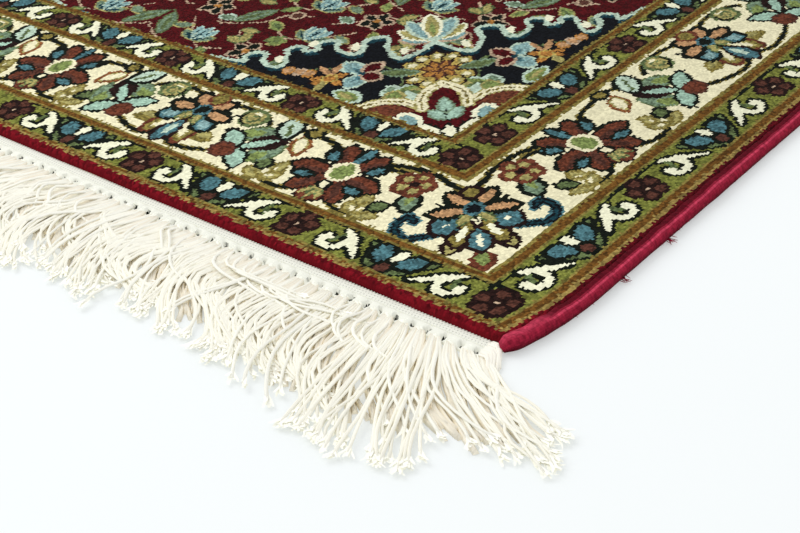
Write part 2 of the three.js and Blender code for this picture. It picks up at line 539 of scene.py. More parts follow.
    def corner_palmette(self, pose: Pose) -> None:
        """Draw the palmette that fills a corner of the cream band, with a curled leaf on each side."""
        for half in pose.both():
            curl = [(13, -13.6), *arc((22.2, -7.4), (6.3, 7.2), -110, 85, 7), (21.4, -3.8)]
            self.vine(half, curl, BLUE, 5.4, 5)
            self.vine(half, curl, NAVY, 3.4, 3.2)
            self.vine(half, curl, TEAL, 1.4, 1.2)
            self.petal(half, (6.4, -16.5), -62, 11.5, 5.2, STRAW, PLUM, 1, 1.5)
            self.petal(half, (2.2, -7.6), -66, 16.5, 7.4, KHAKI, PLUM, 1.25, 1.5)
            self.petal(half, (3.8, -10.6), -66, 10, 2.6, MILK, None, 1.1)
            self.petal(half, (4.6, -4.4), -36, 13.4, 9.4, BLUE, PLUM, 1.5, 1.6)
            self.disc(half, (11, -8.6), (1.2, 1), MILK)
            self.vine(half, [(8.6, 1.4), (13, 6)], INK, 4, 1.2)
            self.vine(half, [(5, 8.4), (6.6, 13)], INK, 4, 1.2)
            self.petal(half, (2, -0.6), 0, 13.5, 4.2, SALMON, INK, 1.1, 2.2)
            self.petal(half, (1.4, 2), 54, 11.8, 4.2, SALMON, INK, 1.1, 2.2)
            self.petal(half, (1.4, -2.6), -54, 8.6, 3, STRAW, SAGE, 1, 0.7)
        self.petal(pose, (0, -26), -90, 14, 9.4, RUST)
        self.petal(pose, (0, -28), -90, 8.4, 4.6, LEAF)
        self.petal(pose, (0, -13), -90, 14.5, 7.4, BLUE, PLUM, 1.25, 1.5)
        self.petal(pose, (0, -15.5), -90, 9, 2.2, MILK, None, 1.1)
        self.vine(pose, [(0, -2), (0, -9)], INK, 2.2, 1.2)
        self.disc(pose, (0, 0), (2.8, 3), NAVY, BLUE, 1.2)
        self.disc(pose, (0, 11), (2.8, 3), KHAKI, PLUM, 1.6)

    def lotus(self, pose: Pose) -> None:
        """Draw the open lotus on the red field."""
        rows = ((14, 14, 6, PALE_BLUE, BLUSH), (40, 18, 6.6, STRAW, MILK), (63, 21.5, 6, PALE_BLUE, FOAM))
        for half in pose.both():
            for turn, length, width, yarn, edge in rows:
                self.petal(half, (0, 0), turn, length, width, yarn, edge, 1.2, 1.3)
        self.petal(pose, (0, 1), 90, 23, 6, STRAW, MILK, 1.2, 1.4)
        self.petal(pose, (0, 5), 90, 12, 2.2, LEAF, None, 1.2)
        self.disc(pose, (0, 0.6), (2.4, 2.6), FOAM)

    def sunflower(self, pose: Pose) -> None:
        """Draw the gold flower of the corner panels."""
        self.disc(pose, (0, 0), (13, 13), PLUM)
        for turn in range(15, 360, 30):
            self.petal(pose, (0, 0), turn, 15, 5.6, GOLD, PLUM, 2.1, 0.8)
            self.disc(pose, on_oval(turn, 11.4, 11.4), (1.5, 1.5), CREAM, STRAW, 0.8)
        self.disc(pose, (0, 0), (5.6, 5.6), CLAY)
        for i in range(7):
            self.petal(pose, (0, 0), 360 * (i + 0.5) / 7, 7.2, 2.8, AMBER, MAROON, 1, 0.8)

    def white_flower(self, pose: Pose) -> None:
        """Draw the flower of two pale blue petals and two of wine with a blush edge, and its leaf."""
        self.petal(pose, (-7, 4.7), 146, 18, 5.4, SAGE, SEA, 1, 1.2)
        for turn in (15, -103):
            self.petal(pose, (0, 0), turn, 14.5, 8.6, PALE_BLUE, FOAM, 1.3, 1.3)
            self.petal(pose, (0, 0), turn, 8, 2.2, BLUE, None, 1.1)
        for turn, length in ((92, 13), (177, 10.5)):
            self.petal(pose, (0, 0), turn, length, 6.6, WINE, BLUSH, 1.2, 1.5)
        self.disc(pose, (0, 0), (1.7, 1.7), TEAL)

    def star_flower(self, pose: Pose) -> None:
        """Draw a small amber flower with a forked shoot and a straw leaf."""
        for turn in (23, 73):
            self.petal(pose, (1.5, 2), turn, 12, 2.8, SALMON, None, 1.1)
        for turn in (115, -31, -62, -167):
            self.petal(pose, (0, 0), turn, 9, 4, AMBER, PLUM, 1.1, 0.6)
        self.petal(pose, (0, -2), -100, 10, 4, STRAW, None, 1.2)
        self.disc(pose, (0, 0), (2.8, 2.8), AMBER, GOLD, 0.9)

    def leaf_spray(self, pose: Pose) -> None:
        """Draw a pale curved leaf on a blush vine."""
        self.vine(pose, [(-19, -12), (-8, -8), (2, 0), (6, 10), (18, 15)], BLUSH, 1.3)
        self.petal(pose, (-13, -8), 62, 22, 7, SEA, SAGE, 1, 0.9)
        self.petal(pose, (-12, -6), 62, 16, 2.6, SAGE)
        self.petal(pose, (4, 2), -30, 12, 5.4, LEAF, STRAW, 1, 0.7)
        self.petal(pose, (6, 1), -30, 8, 2, SAGE)
        self.disc(pose, (10, 12), (2.8, 2.8), MAROON, BLUSH)
        self.petal(pose, (-2, -12), 10, 9, 4, STRAW, SAGE, 1, 0.7)

    def lily_spray(self, pose: Pose) -> None:
        """Draw a pale blue lily with green sepals."""
        self.vine(pose, [(-16, 13), (-8, 4), (0, -4), (10, -8), (19, -4)], BLUSH, 1.3)
        for turn in (144, 36):
            self.petal(pose, (0, -5), turn, 12, 5, SEA, STRAW, 1, 0.7)
            self.petal(pose, (0, -5), turn, 9, 1.8, TEAL)
        for turn in (115, 65, 90):
            self.petal(pose, (0, -4), turn, 13, 4.4, PALE_BLUE, FOAM, 1.2, 0.6)
            self.petal(pose, (0, -3), turn, 8, 1.6, TEAL, None, 1.2)
        self.petal(pose, (-10, 6), 200, 10, 4.6, SEA, STRAW, 1, 0.7)
        self.petal(pose, (10, -8), -50, 9, 4, LEAF, SAGE, 1, 0.7)

    def star_spray(self, pose: Pose) -> None:
        """Draw a dark star with a blush outline and a pair of olive leaves."""
        self.vine(pose, [(-16, -13), (-6, -3), (2, 6), (12, 8), (18, 14)], BLUSH, 1.3)
        for turn in (20, 92, 164, 236, 308):
            self.petal(pose, (0, 0), turn, 8.6, 4.4, INK, BLUSH, 1, 0.9)
        self.disc(pose, (0, 0), (2, 2), AMBER)
        for turn in (0, 60):
            self.petal(pose, (8, 6), turn, 10, 4.4, STRAW, SAGE, 1, 0.8)
        self.petal(pose, (-9, -7), 170, 9, 4.6, SEA, FOAM, 1, 0.7)
        self.petal(pose, (-4, 10), 120, 9, 4.2, LEAF, STRAW, 1, 0.7)


# The vines of the cream band: the share of the way from a rosette to a palmette, and knots across the band.
MAIN_VINES = [
    [(0.13, 32.6), (0.19, 35.6), (0.28, 36.6), (0.37, 38.4), (0.44, 35)],
    [(0.61, 33), (0.66, 36.6), (0.74, 38.4), (0.82, 38), (0.89, 36.4)],
    [(0.65, 9), (0.73, 5.4), (0.82, 3.2), (0.9, 3), (0.97, 6)],
    [(0.09, 6.4), (0.13, 3.4), (0.19, 1.9), (0.27, 2.4)],
]


@dataclass
class BorderPainter:
    """Paints the bands of the border and the motifs that repeat along them."""

    chart: Ornament
    middle_across: float
    middle_along: float
    butterfly_room: float = 40.0
    scroll_room: float = 60.0
    scroll_share: float = 0.248
    depth: Array = field(init=False)

    def __post_init__(self) -> None:
        """Number the bands: of a side's and an end's band, the outer one holds at the corner."""
        side = np.searchsorted([band.side for band in BANDS], self.chart.x)
        end = np.searchsorted([band.end for band in BANDS], self.chart.y)
        self.depth = np.minimum(side, end)

    def strips(self) -> Iterator[tuple[bool, float]]:
        """Yield each direction of the border: whether it is a long side, and where its middle lies."""
        yield False, self.middle_across
        yield True, self.middle_along

    def paint(self) -> None:
        """Paint the plain bands, then the two guards and the main border."""
        yarns = np.array([YARNS.index(band.yarn) for band in BANDS], np.uint8)
        self.chart.yarn[:] = yarns[self.depth]
        # Painted shade: along the long sides the outer crimson band, in the groove beside the cords, takes a
        # darker crimson.
        self.chart.yarn[(self.depth == 0) & (self.chart.y > -6)] = YARNS.index(GARNET)
        self.guard(Place.OUTER_GUARD, (-14.3, -11.7), ([76, 158, 235], [71, 160, 242, 324]))
        self.guard(Place.INNER_GUARD, (57.1, 52.2), ([139, 214], [73, 160, 242, 324]))
        self.main()

    def guard(self, place: Place, corner: Point, rosettes: tuple[list[float], list[float]]) -> None:
        """Paint one guard band: rosettes with a pair of leaves and two scrolls between neighbours.

        Args:
            place: Which guard it is.
            corner: The corner rosette's place.
            rosettes: Where the rosettes stand along an end and along a side.
        """
        self.chart.clip = self.depth == place.value
        for (is_side, middle), stops in zip(self.strips(), rosettes):
            start, line = (corner[1], corner[0]) if is_side else corner
            stops = [start, *stops]
            stops.append(2 * middle - stops[-1])
            for here, there in zip(stops[:-1], stops[1:]):
                self.guard_unit(here, there, line, is_side)
            for stop in stops:
                self.chart.guard_rosette(self.stand(stop, line, is_side))

    def stand(
        self, along: float, across: float, is_side: bool, turn: float = 0.0, flip: bool = False
    ) -> Pose:
        """Stand a motif in a strip: its top faces the field.

        Args:
            along: Knots from the corner along the strip.
            across: Knots from the outer edge of the cream band.
            is_side: Whether the strip is a long side.
            turn: Its turn in degrees.
            flip: Whether it is mirrored.

        Returns:
            The motif's pose.
        """
        if is_side:
            return Pose(across, along, turn, 1.0, flip, True)
        return Pose(along, across, turn, 1.0, flip, False)

    def guard_unit(self, here: float, there: float, line: float, is_side: bool) -> None:
        """Paint what stands between two rosettes of a guard.

        Args:
            here: Where the first rosette stands.
            there: Where the second one stands.
            line: The middle line of the guard.
            is_side: Whether the strip is a long side.
        """
        span = there - here
        middle = (here + there) / 2
        if span < self.butterfly_room:
            return
        if span > self.scroll_room:
            for side in (-1, 1):
                place = middle + side * self.scroll_share * span
                self.chart.guard_scroll(self.stand(place, line, is_side, flip=side > 0))
        self.chart.butterfly(self.stand(middle, line, is_side))

    def main(self) -> None:
        """Paint the cream band: corner, rosettes, palmettes and the vine that joins them."""
        self.chart.clip = self.depth == Place.MAIN.value
        for (is_side, middle), stops in zip(self.strips(), ((88, 169), (85.7, 179))):
            rosette, palm = stops
            width = 44.5 / 41.2 if is_side else 1.0
            turn_back = 2 * palm - rosette
            self.corner_run(rosette, width, is_side)
            self.main_unit(rosette, palm, width, is_side)
            self.main_unit(turn_back, palm, width, is_side)
            if is_side:
                self.main_unit(turn_back, middle, width, is_side)
        self.chart.corner_palmette(Pose(30.3, 28.4, -45))

    def corner_run(self, rosette: float, width: float, is_side: bool) -> None:
        """Paint the stretch between a corner and its first rosette.

        Args:
            rosette: Where the rosette stands.
            width: The band's width as a share of that at an end.
            is_side: Whether the strip is a long side.
        """
        top = [(9.5, 34), (17, 36.8), (24, 38.4), (33, 38.2), (41, 36.4), (46.5, 36)]
        twig = [(14, 32.4), (18, 33.8), (23, 34)]
        foot = [(7, 6.4), (10.5, 3.4), (15.5, 1.9), (21, 2.2)]
        for line, thick in ((top, 2.6), (twig, 2.2), (foot, 2.2)):
            self.strip_vine([(rosette - a, b) for a, b in line], width, is_side, thick)
        self.chart.leaf_cluster(self.stand(rosette - 23.5, 8.2 * width, is_side))
        self.chart.small_flower(self.stand(rosette - 28.6, 29.4 * width, is_side, 0, True))

    def strip_vine(self, points: list[Point], width: float, is_side: bool, thick: float = 2.2) -> None:
        """Paint a dark vine given by places along and across a strip.

        Args:
            points: Places along and across the strip.
            width: The band's width as a share of that at an end.
            is_side: Whether the strip is a long side.
            thick: The vine's width.
        """
        start = points[0]
        pose = self.stand(start[0], start[1] * width, is_side)
        local = [(a - start[0], (b - start[1]) * width) for a, b in points]
        self.chart.vine(pose, local, INK, thick, None, KHAKI, 0.4)

    def main_unit(self, rosette: float, palm: float, width: float, is_side: bool) -> None:
        """Paint half a repeat of the cream band, from a rosette to the palmette that mirrors it.

        Args:
            rosette: Where the rosette stands.
            palm: Where the palmette stands.
            width: The band's width as a share of that at an end.
            is_side: Whether the strip is a long side.
        """
        way = 1.0 if palm > rosette else -1.0
        span = abs(palm - rosette)

        def at(share: float, across: float) -> Point:
            """Return the place at a share of the way from rosette to palmette."""
            return rosette + way * share * span, across

        def put(share: float, across: float, turn: float, flip: bool) -> Pose:
            """Return the pose of a motif at a share of the way, mirrored with the strip."""
            mirrored = flip != (way < 0)
            return self.stand(rosette + way * share * span, across * width, is_side, turn * way, mirrored)

        for line in MAIN_VINES:
            self.strip_vine([at(*place) for place in line], width, is_side)
        self.chart.leaf_cluster(put(0.32, 8.4, 0, True))
        self.chart.bud(put(0.335, 27.2, -28, False))
        self.chart.disc(put(0.352, 37.4, 0, False), (0, 0), (2.6, 2.3), KHAKI, INK, 1.5)
        self.chart.split_palmette(put(0.53, 19.2, 42, False))
        self.chart.spiral_flower(put(0.72, 33.4, 0, False))
        self.chart.big_rosette(self.stand(rosette, 21.6 * width, is_side))
        self.chart.palmette(self.stand(palm, 27.4 * width, is_side))


# The lobes of a corner panel's edge in knots: off the diagonal and out from the corner for the bay before
# each, then where the lobe rises, how far out its tip is and where it falls.
PANEL_LOBES = [
    (14, 71.5, 20, 92.5, 29),
    (34, 80, 41, 94.5, 48.5),
    (51.5, 87, 55, 92.5, 61.5),
    (66, 76.5, 71.5, 91, 79),
]


@dataclass
class FieldPainter:
    """Paints the field: wine ground with flowers, navy corner panels and a plain middle medallion."""

    chart: Ornament
    depth: Array
    middle: Point
    corner: Point = (70, 62.4)

    @property
    def panel(self) -> Pose:
        """The corner panel's pose: its second axis runs in along the diagonal of the field."""
        return Pose(*self.corner, -45)

    def diagonal(self, out: float, off: float) -> Point:
        """Return the chart place that lies out along the corner's diagonal and off to its side."""
        return self.corner[0] + (out + off) * math.sqrt(0.5), self.corner[1] + (out - off) * math.sqrt(0.5)

    def paint(self) -> None:
        """Paint the ground flowers, the corner panels and the medallion."""
        self.chart.clip = self.depth == Place.FIELD.value
        self.ground()
        self.corner_panel()
        self.medallion()

    def ground(self) -> None:
        """Cover the wine ground with sprays in a regular lattice."""
        sprays = (self.chart.leaf_spray, self.chart.lily_spray, self.chart.star_spray)
        for row in range(14):
            for column in range(8):
                x = self.corner[0] + 6 + column * 29 + (14.5 if row % 2 else 0)
                y = self.corner[1] + 10 + row * 25
                sprays[(row + 2 * column) % 3](Pose(x, y, 0, 0.92, (row + column) % 2 == 1))

    def scalloped_edge(self) -> list[Point]:
        """Return one half of the panel's edge, bays and lobes in turn, off and out from the corner."""
        edge = [(0, 83), (4.5, 77)]
        for bay_off, bay_out, rise, tip, fall in PANEL_LOBES:
            wide = fall - rise
            edge += [(bay_off - 2.5, bay_out), (bay_off + 2.5, bay_out), (rise, (bay_out + tip) / 2 - 1)]
            edge += [(rise - 0.12 * wide, tip - 2.5), (rise + 0.3 * wide, tip), (fall, tip - 2)]
            edge += [(fall + 0.05 * wide, tip - 7)]
        return [*edge, (85, 87), (94, 93), (110, 100)]

    def corner_panel(self) -> None:
        """Draw the navy panel with its scalloped edge, its flowers and the small corner cartouche."""
        edge = self.scalloped_edge()
        halves = self.panel.both()
        for inset, yarn in ((0, BLUE), (1.8, TEAL), (4.2, NAVY)):
            line = [(off, out - inset) for off, out in edge]
            for half in halves:
                self.chart.area(half, [(-1, -2), (-1, 83.0 - inset), *line, (110, -2)], yarn)
        for half in halves:
            self.chart.vine(half, edge, FOAM, 2.7, 2.3)
            for bay_off, bay_out, _, _, _ in PANEL_LOBES:
                self.chart.petal(half, (bay_off - 0.6, bay_out + 2.6), 98, 6.8, 3.6, MILK)
        x, y = self.diagonal(84, 0)
        self.chart.lotus(Pose(x, y, -45))
        self.panel_leaves()
        x, y = self.diagonal(56.6, 0)
        self.chart.sunflower(Pose(x, y, 0, 1.08))
        for side in (-1, 1):
            x, y = self.diagonal(60.8, 31.4 * side)
            self.chart.white_flower(Pose(x, y, 0, 0.86, False, side < 0))
            x, y = self.diagonal(59.6, 44.6 * side)
            self.chart.star_flower(Pose(x, y, 0, 0.92, False, side < 0))
        self.cartouche()

    def panel_leaves(self) -> None:
        """Fill the panel with leaves and strings of buds, alike along both of its straight sides."""
        for side in (Pose(*self.corner), Pose(*self.corner, swap=True)):
            self.chart.vine(side, [(44, 22), (54, 30), (66, 28), (78, 18), (92, 8)], SAGE, 1.5)
            self.chart.petal(side, (51, 3), 4, 13, 6.4, LEAF, FOAM, 0.9, 1.3)
            self.chart.petal(side, (53, 3), 4, 9, 2.4, STRAW)
            self.chart.petal(side, (40, 12), 40, 10, 6, SEA, FOAM, 1, 1.4)
            self.chart.petal(side, (33, 32), -66, 24, 8, LEAF, FOAM, 1, 1.3)
            self.chart.petal(side, (34, 29), -66, 16, 2.6, STRAW)
            for step in range(3):
                middle = (84.0 + 4.8 * step, 9.4 - 1.2 * step)
                self.chart.disc(side, middle, (1.9, 2.3), SALMON, BLUSH if step % 2 else AMBER, 0.9)

    def cartouche(self) -> None:
        """Draw the small rust cartouche in the panel's corner, with its double cream outline."""
        shoulder = [(34, 32), (26, 34.6), (18, 33.6), (12, 29.6), (9, 25.4)]
        arch = [(9, 25.4), (9, 32), (6.6, 39), (0, 45)]
        halves = self.panel.both()
        for half in halves:
            self.chart.area(half, [(-1, -2), (-1, 45), *arch[::-1], *shoulder[::-1], (34, -2)], WINE)
            self.chart.area(half, [(12, 24), (20, 31), (30, 31), (26, 22)], RUST)
        for half in halves:
            self.chart.petal(half, (10, 32), 62, 11, 5.4, FOAM, SAGE)
            self.chart.petal(half, (20, 34), 96, 8, 6.4, LEAF, STRAW, 1, 1.2)
            for line in (shoulder, arch):
                self.chart.vine(half, line, CREAM, 4.2, None, STRAW, 0.5)
                self.chart.vine(half, line, KHAKI, 1)
            self.chart.petal(half, (15, 9), 84, 13, 8, PALE_BLUE, MILK, 1.1, 1.9)
            self.chart.petal(half, (4, 3), 52, 12.5, 5.4, MILK, INK)
        heart = self.panel
        for turn in (90, 52, 128):
            self.chart.petal(heart, (0, 15), turn, 17 if turn == 90 else 10, 4.8, AQUA, SEA, 1.1, 1)
        self.chart.vine(heart, [(0, 4), (0, 24)], INK, 2, 1)
        self.chart.petal(heart, (0, 1), 90, 9, 5, MILK, INK, 1, 0.8)

    def ring_pose(self, turn: float, radius: float, size: float) -> Pose:
        """Return the pose of a motif on a ring round the middle, its top facing out."""
        a, b = on_oval(turn, radius, radius)
        return Pose(self.middle[0] + a, self.middle[1] + b, turn - 90, size)

    def medallion(self) -> None:
        """Draw a plain lobed medallion in the middle of the field."""
        dx, dy = self.chart.x - self.middle[0], self.chart.y - self.middle[1]
        angle = np.arctan2(dy, dx)
        for radius, yarn in ((98, TEAL), (95.5, FOAM), (92.5, NAVY), (50, FOAM), (47.5, WINE)):
            lobed = radius * (1.0 + 0.06 * np.abs(np.sin(6 * angle)))
            self.chart.yarn[self.chart.clip & (np.hypot(dx, dy) <= lobed)] = YARNS.index(yarn)
        for i in range(12):
            flower = self.chart.white_flower if i % 2 else self.chart.star_flower
            flower(self.ring_pose(30 * i + 15, 71, 1.1))
        for turn in range(30, 360, 60):
            self.chart.petal(self.ring_pose(turn, 31, 1.0), (0, -8), 90, 17, 8, PALE_BLUE, FOAM)
        self.chart.sunflower(Pose(*self.middle))


def linear(colour: Colour) -> tuple[float, float, float]:
    """Turn an sRGB colour into the linear values that a shader takes."""
    red, green, blue = ((c / 255 / 12.92) if c <= 10 else ((c / 255 + 0.055) / 1.055) ** 2.4 for c in colour)
    return red, green, blue


def ease(value: Array | float, low: float, high: float) -> Array:
    """Return a smooth step from 0 to 1 as a value goes from low to high."""
    t = np.clip((np.asarray(value, float) - low) / (high - low), 0.0, 1.0)
    return t * t * (3 - 2 * t)


@dataclass(frozen=True)
class RugPlan:
    """Sizes in millimetres that the pieces share, read from the frame."""

    half_width: float
    half_length: float
    thickness: float
    cord_middle: float
    cord_radius: float
    strip_half: float
    strip_end: float
    draw_in: float = 8.0
    draw_reach: float = 56.0

    @classmethod
    def from_frame(cls, strip_width: float = 11.5, strip_inset: float = 14.0, gap: float = 0.3) -> RugPlan:
        """Read the rug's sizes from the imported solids.

        Args:
            strip_width: Width of the flat woven strip at an end.
            strip_inset: How far that strip stops short of the widest edge.
            gap: The gap between the pile and the strip.

        Returns:
            The plan.
        """
        high, cord_high = (np.array(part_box(node)[1]) / MM for node in ("rug", "side_cord_right"))
        radius = cord_high[2] / 2
        return cls(
            half_width=float(high[0]),
            half_length=float(high[1]),
            thickness=float(high[2]),
            cord_middle=float(cord_high[0] - radius),
            cord_radius=float(radius),
            strip_half=float(cord_high[0] - strip_inset),
            strip_end=float(high[1] + gap + strip_width),
        )

    def pulled(self, y: Array) -> Array:
        """Return how far a long side is drawn in at places along the rug."""
        share = np.clip((np.abs(y) - (self.half_length - self.draw_reach)) / self.draw_reach, 0.0, 1.0)
        return self.draw_in * share**2


@dataclass
class MeshDraft:
    """Collects the points and faces of one piece in millimetres, each face with its own colour."""

    points: list[Array] = field(default_factory=list)
    faces: list[list[int]] = field(default_factory=list)
    colours: list[tuple[float, float, float]] = field(default_factory=list)
    flat_faces: list[bool] = field(default_factory=list)
    count: int = 0

    def add(self, points: Array) -> int:
        """Add points and return the number of the first."""
        first = self.count
        self.points.append(np.asarray(points, float).reshape(-1, 3))
        self.count += len(self.points[-1])
        return first

    def face(self, corners: list[int], colour: tuple[float, float, float], flat: bool = False) -> None:
        """Add one face by the numbers of its corners."""
        self.faces.append(corners)
        self.colours.append(colour)
        self.flat_faces.append(flat)

    def tube(self, path: Array, radii: Array, sides: int, colour: tuple[float, float, float]) -> None:
        """Add a closed tube along a path.

        Args:
            path: Points along its middle.
            radii: Its radius at each of them.
            sides: How many sides it has.
            colour: Its colour.
        """
        ahead = np.gradient(path, axis=0)
        ahead /= np.linalg.norm(ahead, axis=1)[:, None] + 1e-12
        across = np.cross(ahead, (0.0, 0.0, 1.0))
        across /= np.linalg.norm(across, axis=1)[:, None] + 1e-9
        above = np.cross(across, ahead)
        turns = (np.arange(sides) / sides + 0.25) * 2 * np.pi
        ring = across[:, None] * np.cos(turns)[None, :, None] + above[:, None] * np.sin(turns)[None, :, None]
        first = self.add(path[:, None] + ring * np.asarray(radii)[:, None, None])
        for step in range(len(path) - 1):
            here, there = first + step * sides, first + (step + 1) * sides
            for k in range(sides):
                after = (k + 1) % sides
                self.face([here + k, here + after, there + after, there + k], colour)
        last = first + (len(path) - 1) * sides
        self.face(list(range(first + sides - 1, first - 1, -1)), colour, True)
        self.face(list(range(last, last + sides)), colour, True)

    def ribbon(self, path: Array, side: Array, colour: tuple[float, float, float]) -> None:
        """Add a flat ribbon along a path.

        Args:
            path: Points along its middle.
            side: How far its edge lies from each of them.
            colour: Its colour.
        """
        first = self.add(np.concatenate([path - side, path + side]))
        for here in range(first, first + len(path) - 1):
            self.face([here, here + len(path), here + len(path) + 1, here + 1], colour)

    def make(self, name: str, material: bpy.types.Material, turned: bool = False) -> bpy.types.Object:
        """Make the Blender object.

        Args:
            name: The piece's name.
            material: Its material.
            turned: Whether it is turned half round the middle of the rug.

        Returns:
            The object, in metres.
        """
        places = np.vstack(self.points) * MM
        if turned:
            places[:, :2] *= -1.0
        mesh = bpy.data.meshes.new(name)
        mesh.from_pydata(places, [], self.faces)
        mesh.polygons.foreach_set("use_smooth", np.logical_not(self.flat_faces))
        sizes = np.array([len(corners) for corners in self.faces])
        tint = np.ones((int(sizes.sum()), 4), np.float32)
        tint[:, :3] = np.repeat(np.array(self.colours, np.float32), sizes, axis=0)
        mesh.color_attributes.new("tint", "FLOAT_COLOR", "CORNER").data.foreach_set("color", tint.ravel())
        mesh.materials.append(material)
        mesh.update()
        piece = bpy.data.objects.new(name, mesh)
        bpy.context.scene.collection.objects.link(piece)
        LOG.info("%s: %d faces, %d triangles", name, len(sizes), int((sizes - 2).sum()))
        return piece


class NodeBoard:
    """Places and links the nodes of one material or node group."""

    def __init__(self, tree: bpy.types.NodeTree) -> None:
        """Work on one node tree."""
        self.tree = tree

    def add(self, kind: str, inputs: dict | None = None, **settings: object) -> bpy.types.Node:
        """Add a node.

        Args:
            kind: The node's type.
            inputs: Values or sockets for its inputs, by name or number.
            **settings: Its own properties.

        Returns:
            The node.
        """
        node = self.tree.nodes.new(kind)
        for name, value in settings.items():
            setattr(node, name, value)
        for name, value in (inputs or {}).items():
            if isinstance(value, bpy.types.NodeSocket):
                self.tree.links.new(value, node.inputs[name])
            else:
                node.inputs[name].default_value = value
        return node

    def times(self, colour: bpy.types.NodeSocket, value: bpy.types.NodeSocket) -> bpy.types.NodeSocket:
        """Return a colour multiplied by a value."""
        node = self.add("ShaderNodeVectorMath", {0: colour, "Scale": value}, operation="SCALE")
        return node.outputs["Vector"]

    def math(self, operation: str, *values: object) -> bpy.types.NodeSocket:
        """Return the result of a math node on values or sockets."""
        return self.add("ShaderNodeMath", dict(enumerate(values)), operation=operation).outputs[0]

    def spread(
        self, value: bpy.types.NodeSocket, low: float, high: float, to_low: float, to_high: float
    ) -> bpy.types.NodeSocket:
        """Return a value mapped from one range to another."""
        inputs = {"Value": value, "From Min": low, "From Max": high, "To Min": to_low, "To Max": to_high}
        return self.add("ShaderNodeMapRange", inputs).outputs["Result"]


class FibreGrain:
    """The shared grain of spun fibre: a tone that varies and a height for the bump."""

    NAME = "fibre_grain"

    @classmethod
    def group(cls) -> bpy.types.NodeTree:
        """Return the node group, built the first time it is asked for."""
        found = bpy.data.node_groups.get(cls.NAME)
        if found:
            return found
        tree = bpy.data.node_groups.new(cls.NAME, "ShaderNodeTree")
        for name, start in (("Fineness", 1500.0), ("Depth", 0.1)):
            socket = tree.interface.new_socket(name, in_out="INPUT", socket_type="NodeSocketFloat")
            socket.default_value = start
        for name in ("Tone", "Height"):
            tree.interface.new_socket(name, in_out="OUTPUT", socket_type="NodeSocketFloat")
        board = NodeBoard(tree)
        taken = board.add("NodeGroupInput").outputs
        place = board.add("ShaderNodeTexCoord").outputs["Object"]
        grain = {"Vector": place, "Scale": taken["Fineness"], "Detail": 3.0, "Roughness": 0.6}
        noise = board.add("ShaderNodeTexNoise", grain).outputs["Fac"]
        swing = board.math("MULTIPLY_ADD", noise, 2.0, -1.0)
        tone = board.math("MULTIPLY_ADD", swing, taken["Depth"], 1.0)
        board.add("NodeGroupOutput", {"Tone": tone, "Height": noise})
        return tree

    @classmethod
    def place(cls, board: NodeBoard, fineness: float, depth: float) -> bpy.types.Node:
        """Place the group in a material with its own fineness and depth."""
        node = board.add("ShaderNodeGroup", node_tree=cls.group())
        node.inputs["Fineness"].default_value = fineness
        node.inputs["Depth"].default_value = depth
        return node


@dataclass(frozen=True)
class Finish:
    """What every finish shares: a Principled surface that takes its colour from the piece's tint."""

    name: str
    roughness: float
    fineness: float
    depth: float
    bump: float
    gloss: float

    def material(self) -> bpy.types.Material:
        """Make the finish's material."""
        raise NotImplementedError

    def shared(self) -> bpy.types.Material:
        """Return the finish's material, made the first time it is asked for."""
        return bpy.data.materials.get(self.name) or self.material()

    def start(self) -> tuple[bpy.types.Material, NodeBoard, bpy.types.Node, bpy.types.NodeSocket]:
        """Start a material.

        Returns:
            The material, its board, its surface node and the tint's socket.
        """
        material = bpy.data.materials.new(self.name)
        material.use_nodes = True
        board = NodeBoard(material.node_tree)
        surface = material.node_tree.nodes["Principled BSDF"]
        surface.inputs["Roughness"].default_value = self.roughness
        surface.inputs["Specular IOR Level"].default_value = self.gloss
        tint = board.add("ShaderNodeAttribute", attribute_name="tint", attribute_type="GEOMETRY")
        return material, board, surface, tint.outputs["Color"]

    def close(
        self,
        board: NodeBoard,
        surface: bpy.types.Node,
        colour: object,
        height: object,
        rise: float,
        normal: object = None,
    ) -> None:
        """Join colour and bump to the surface.

        Args:
            board: The material's board.
            surface: Its surface node.
            colour: The socket that gives the colour.
            height: The socket that gives the bump's height.
            rise: How high the bump stands, in metres.
            normal: The socket that gives the normal the bump starts from, if it isn't the mesh's own.
        """
        bump = board.add("ShaderNodeBump", {"Strength": self.bump, "Distance": rise, "Height": height})
        if normal:
            board.tree.links.new(normal, bump.inputs["Normal"])
        board.tree.links.new(colour, surface.inputs["Base Color"])
        board.tree.links.new(bump.outputs["Normal"], surface.inputs["Normal"])


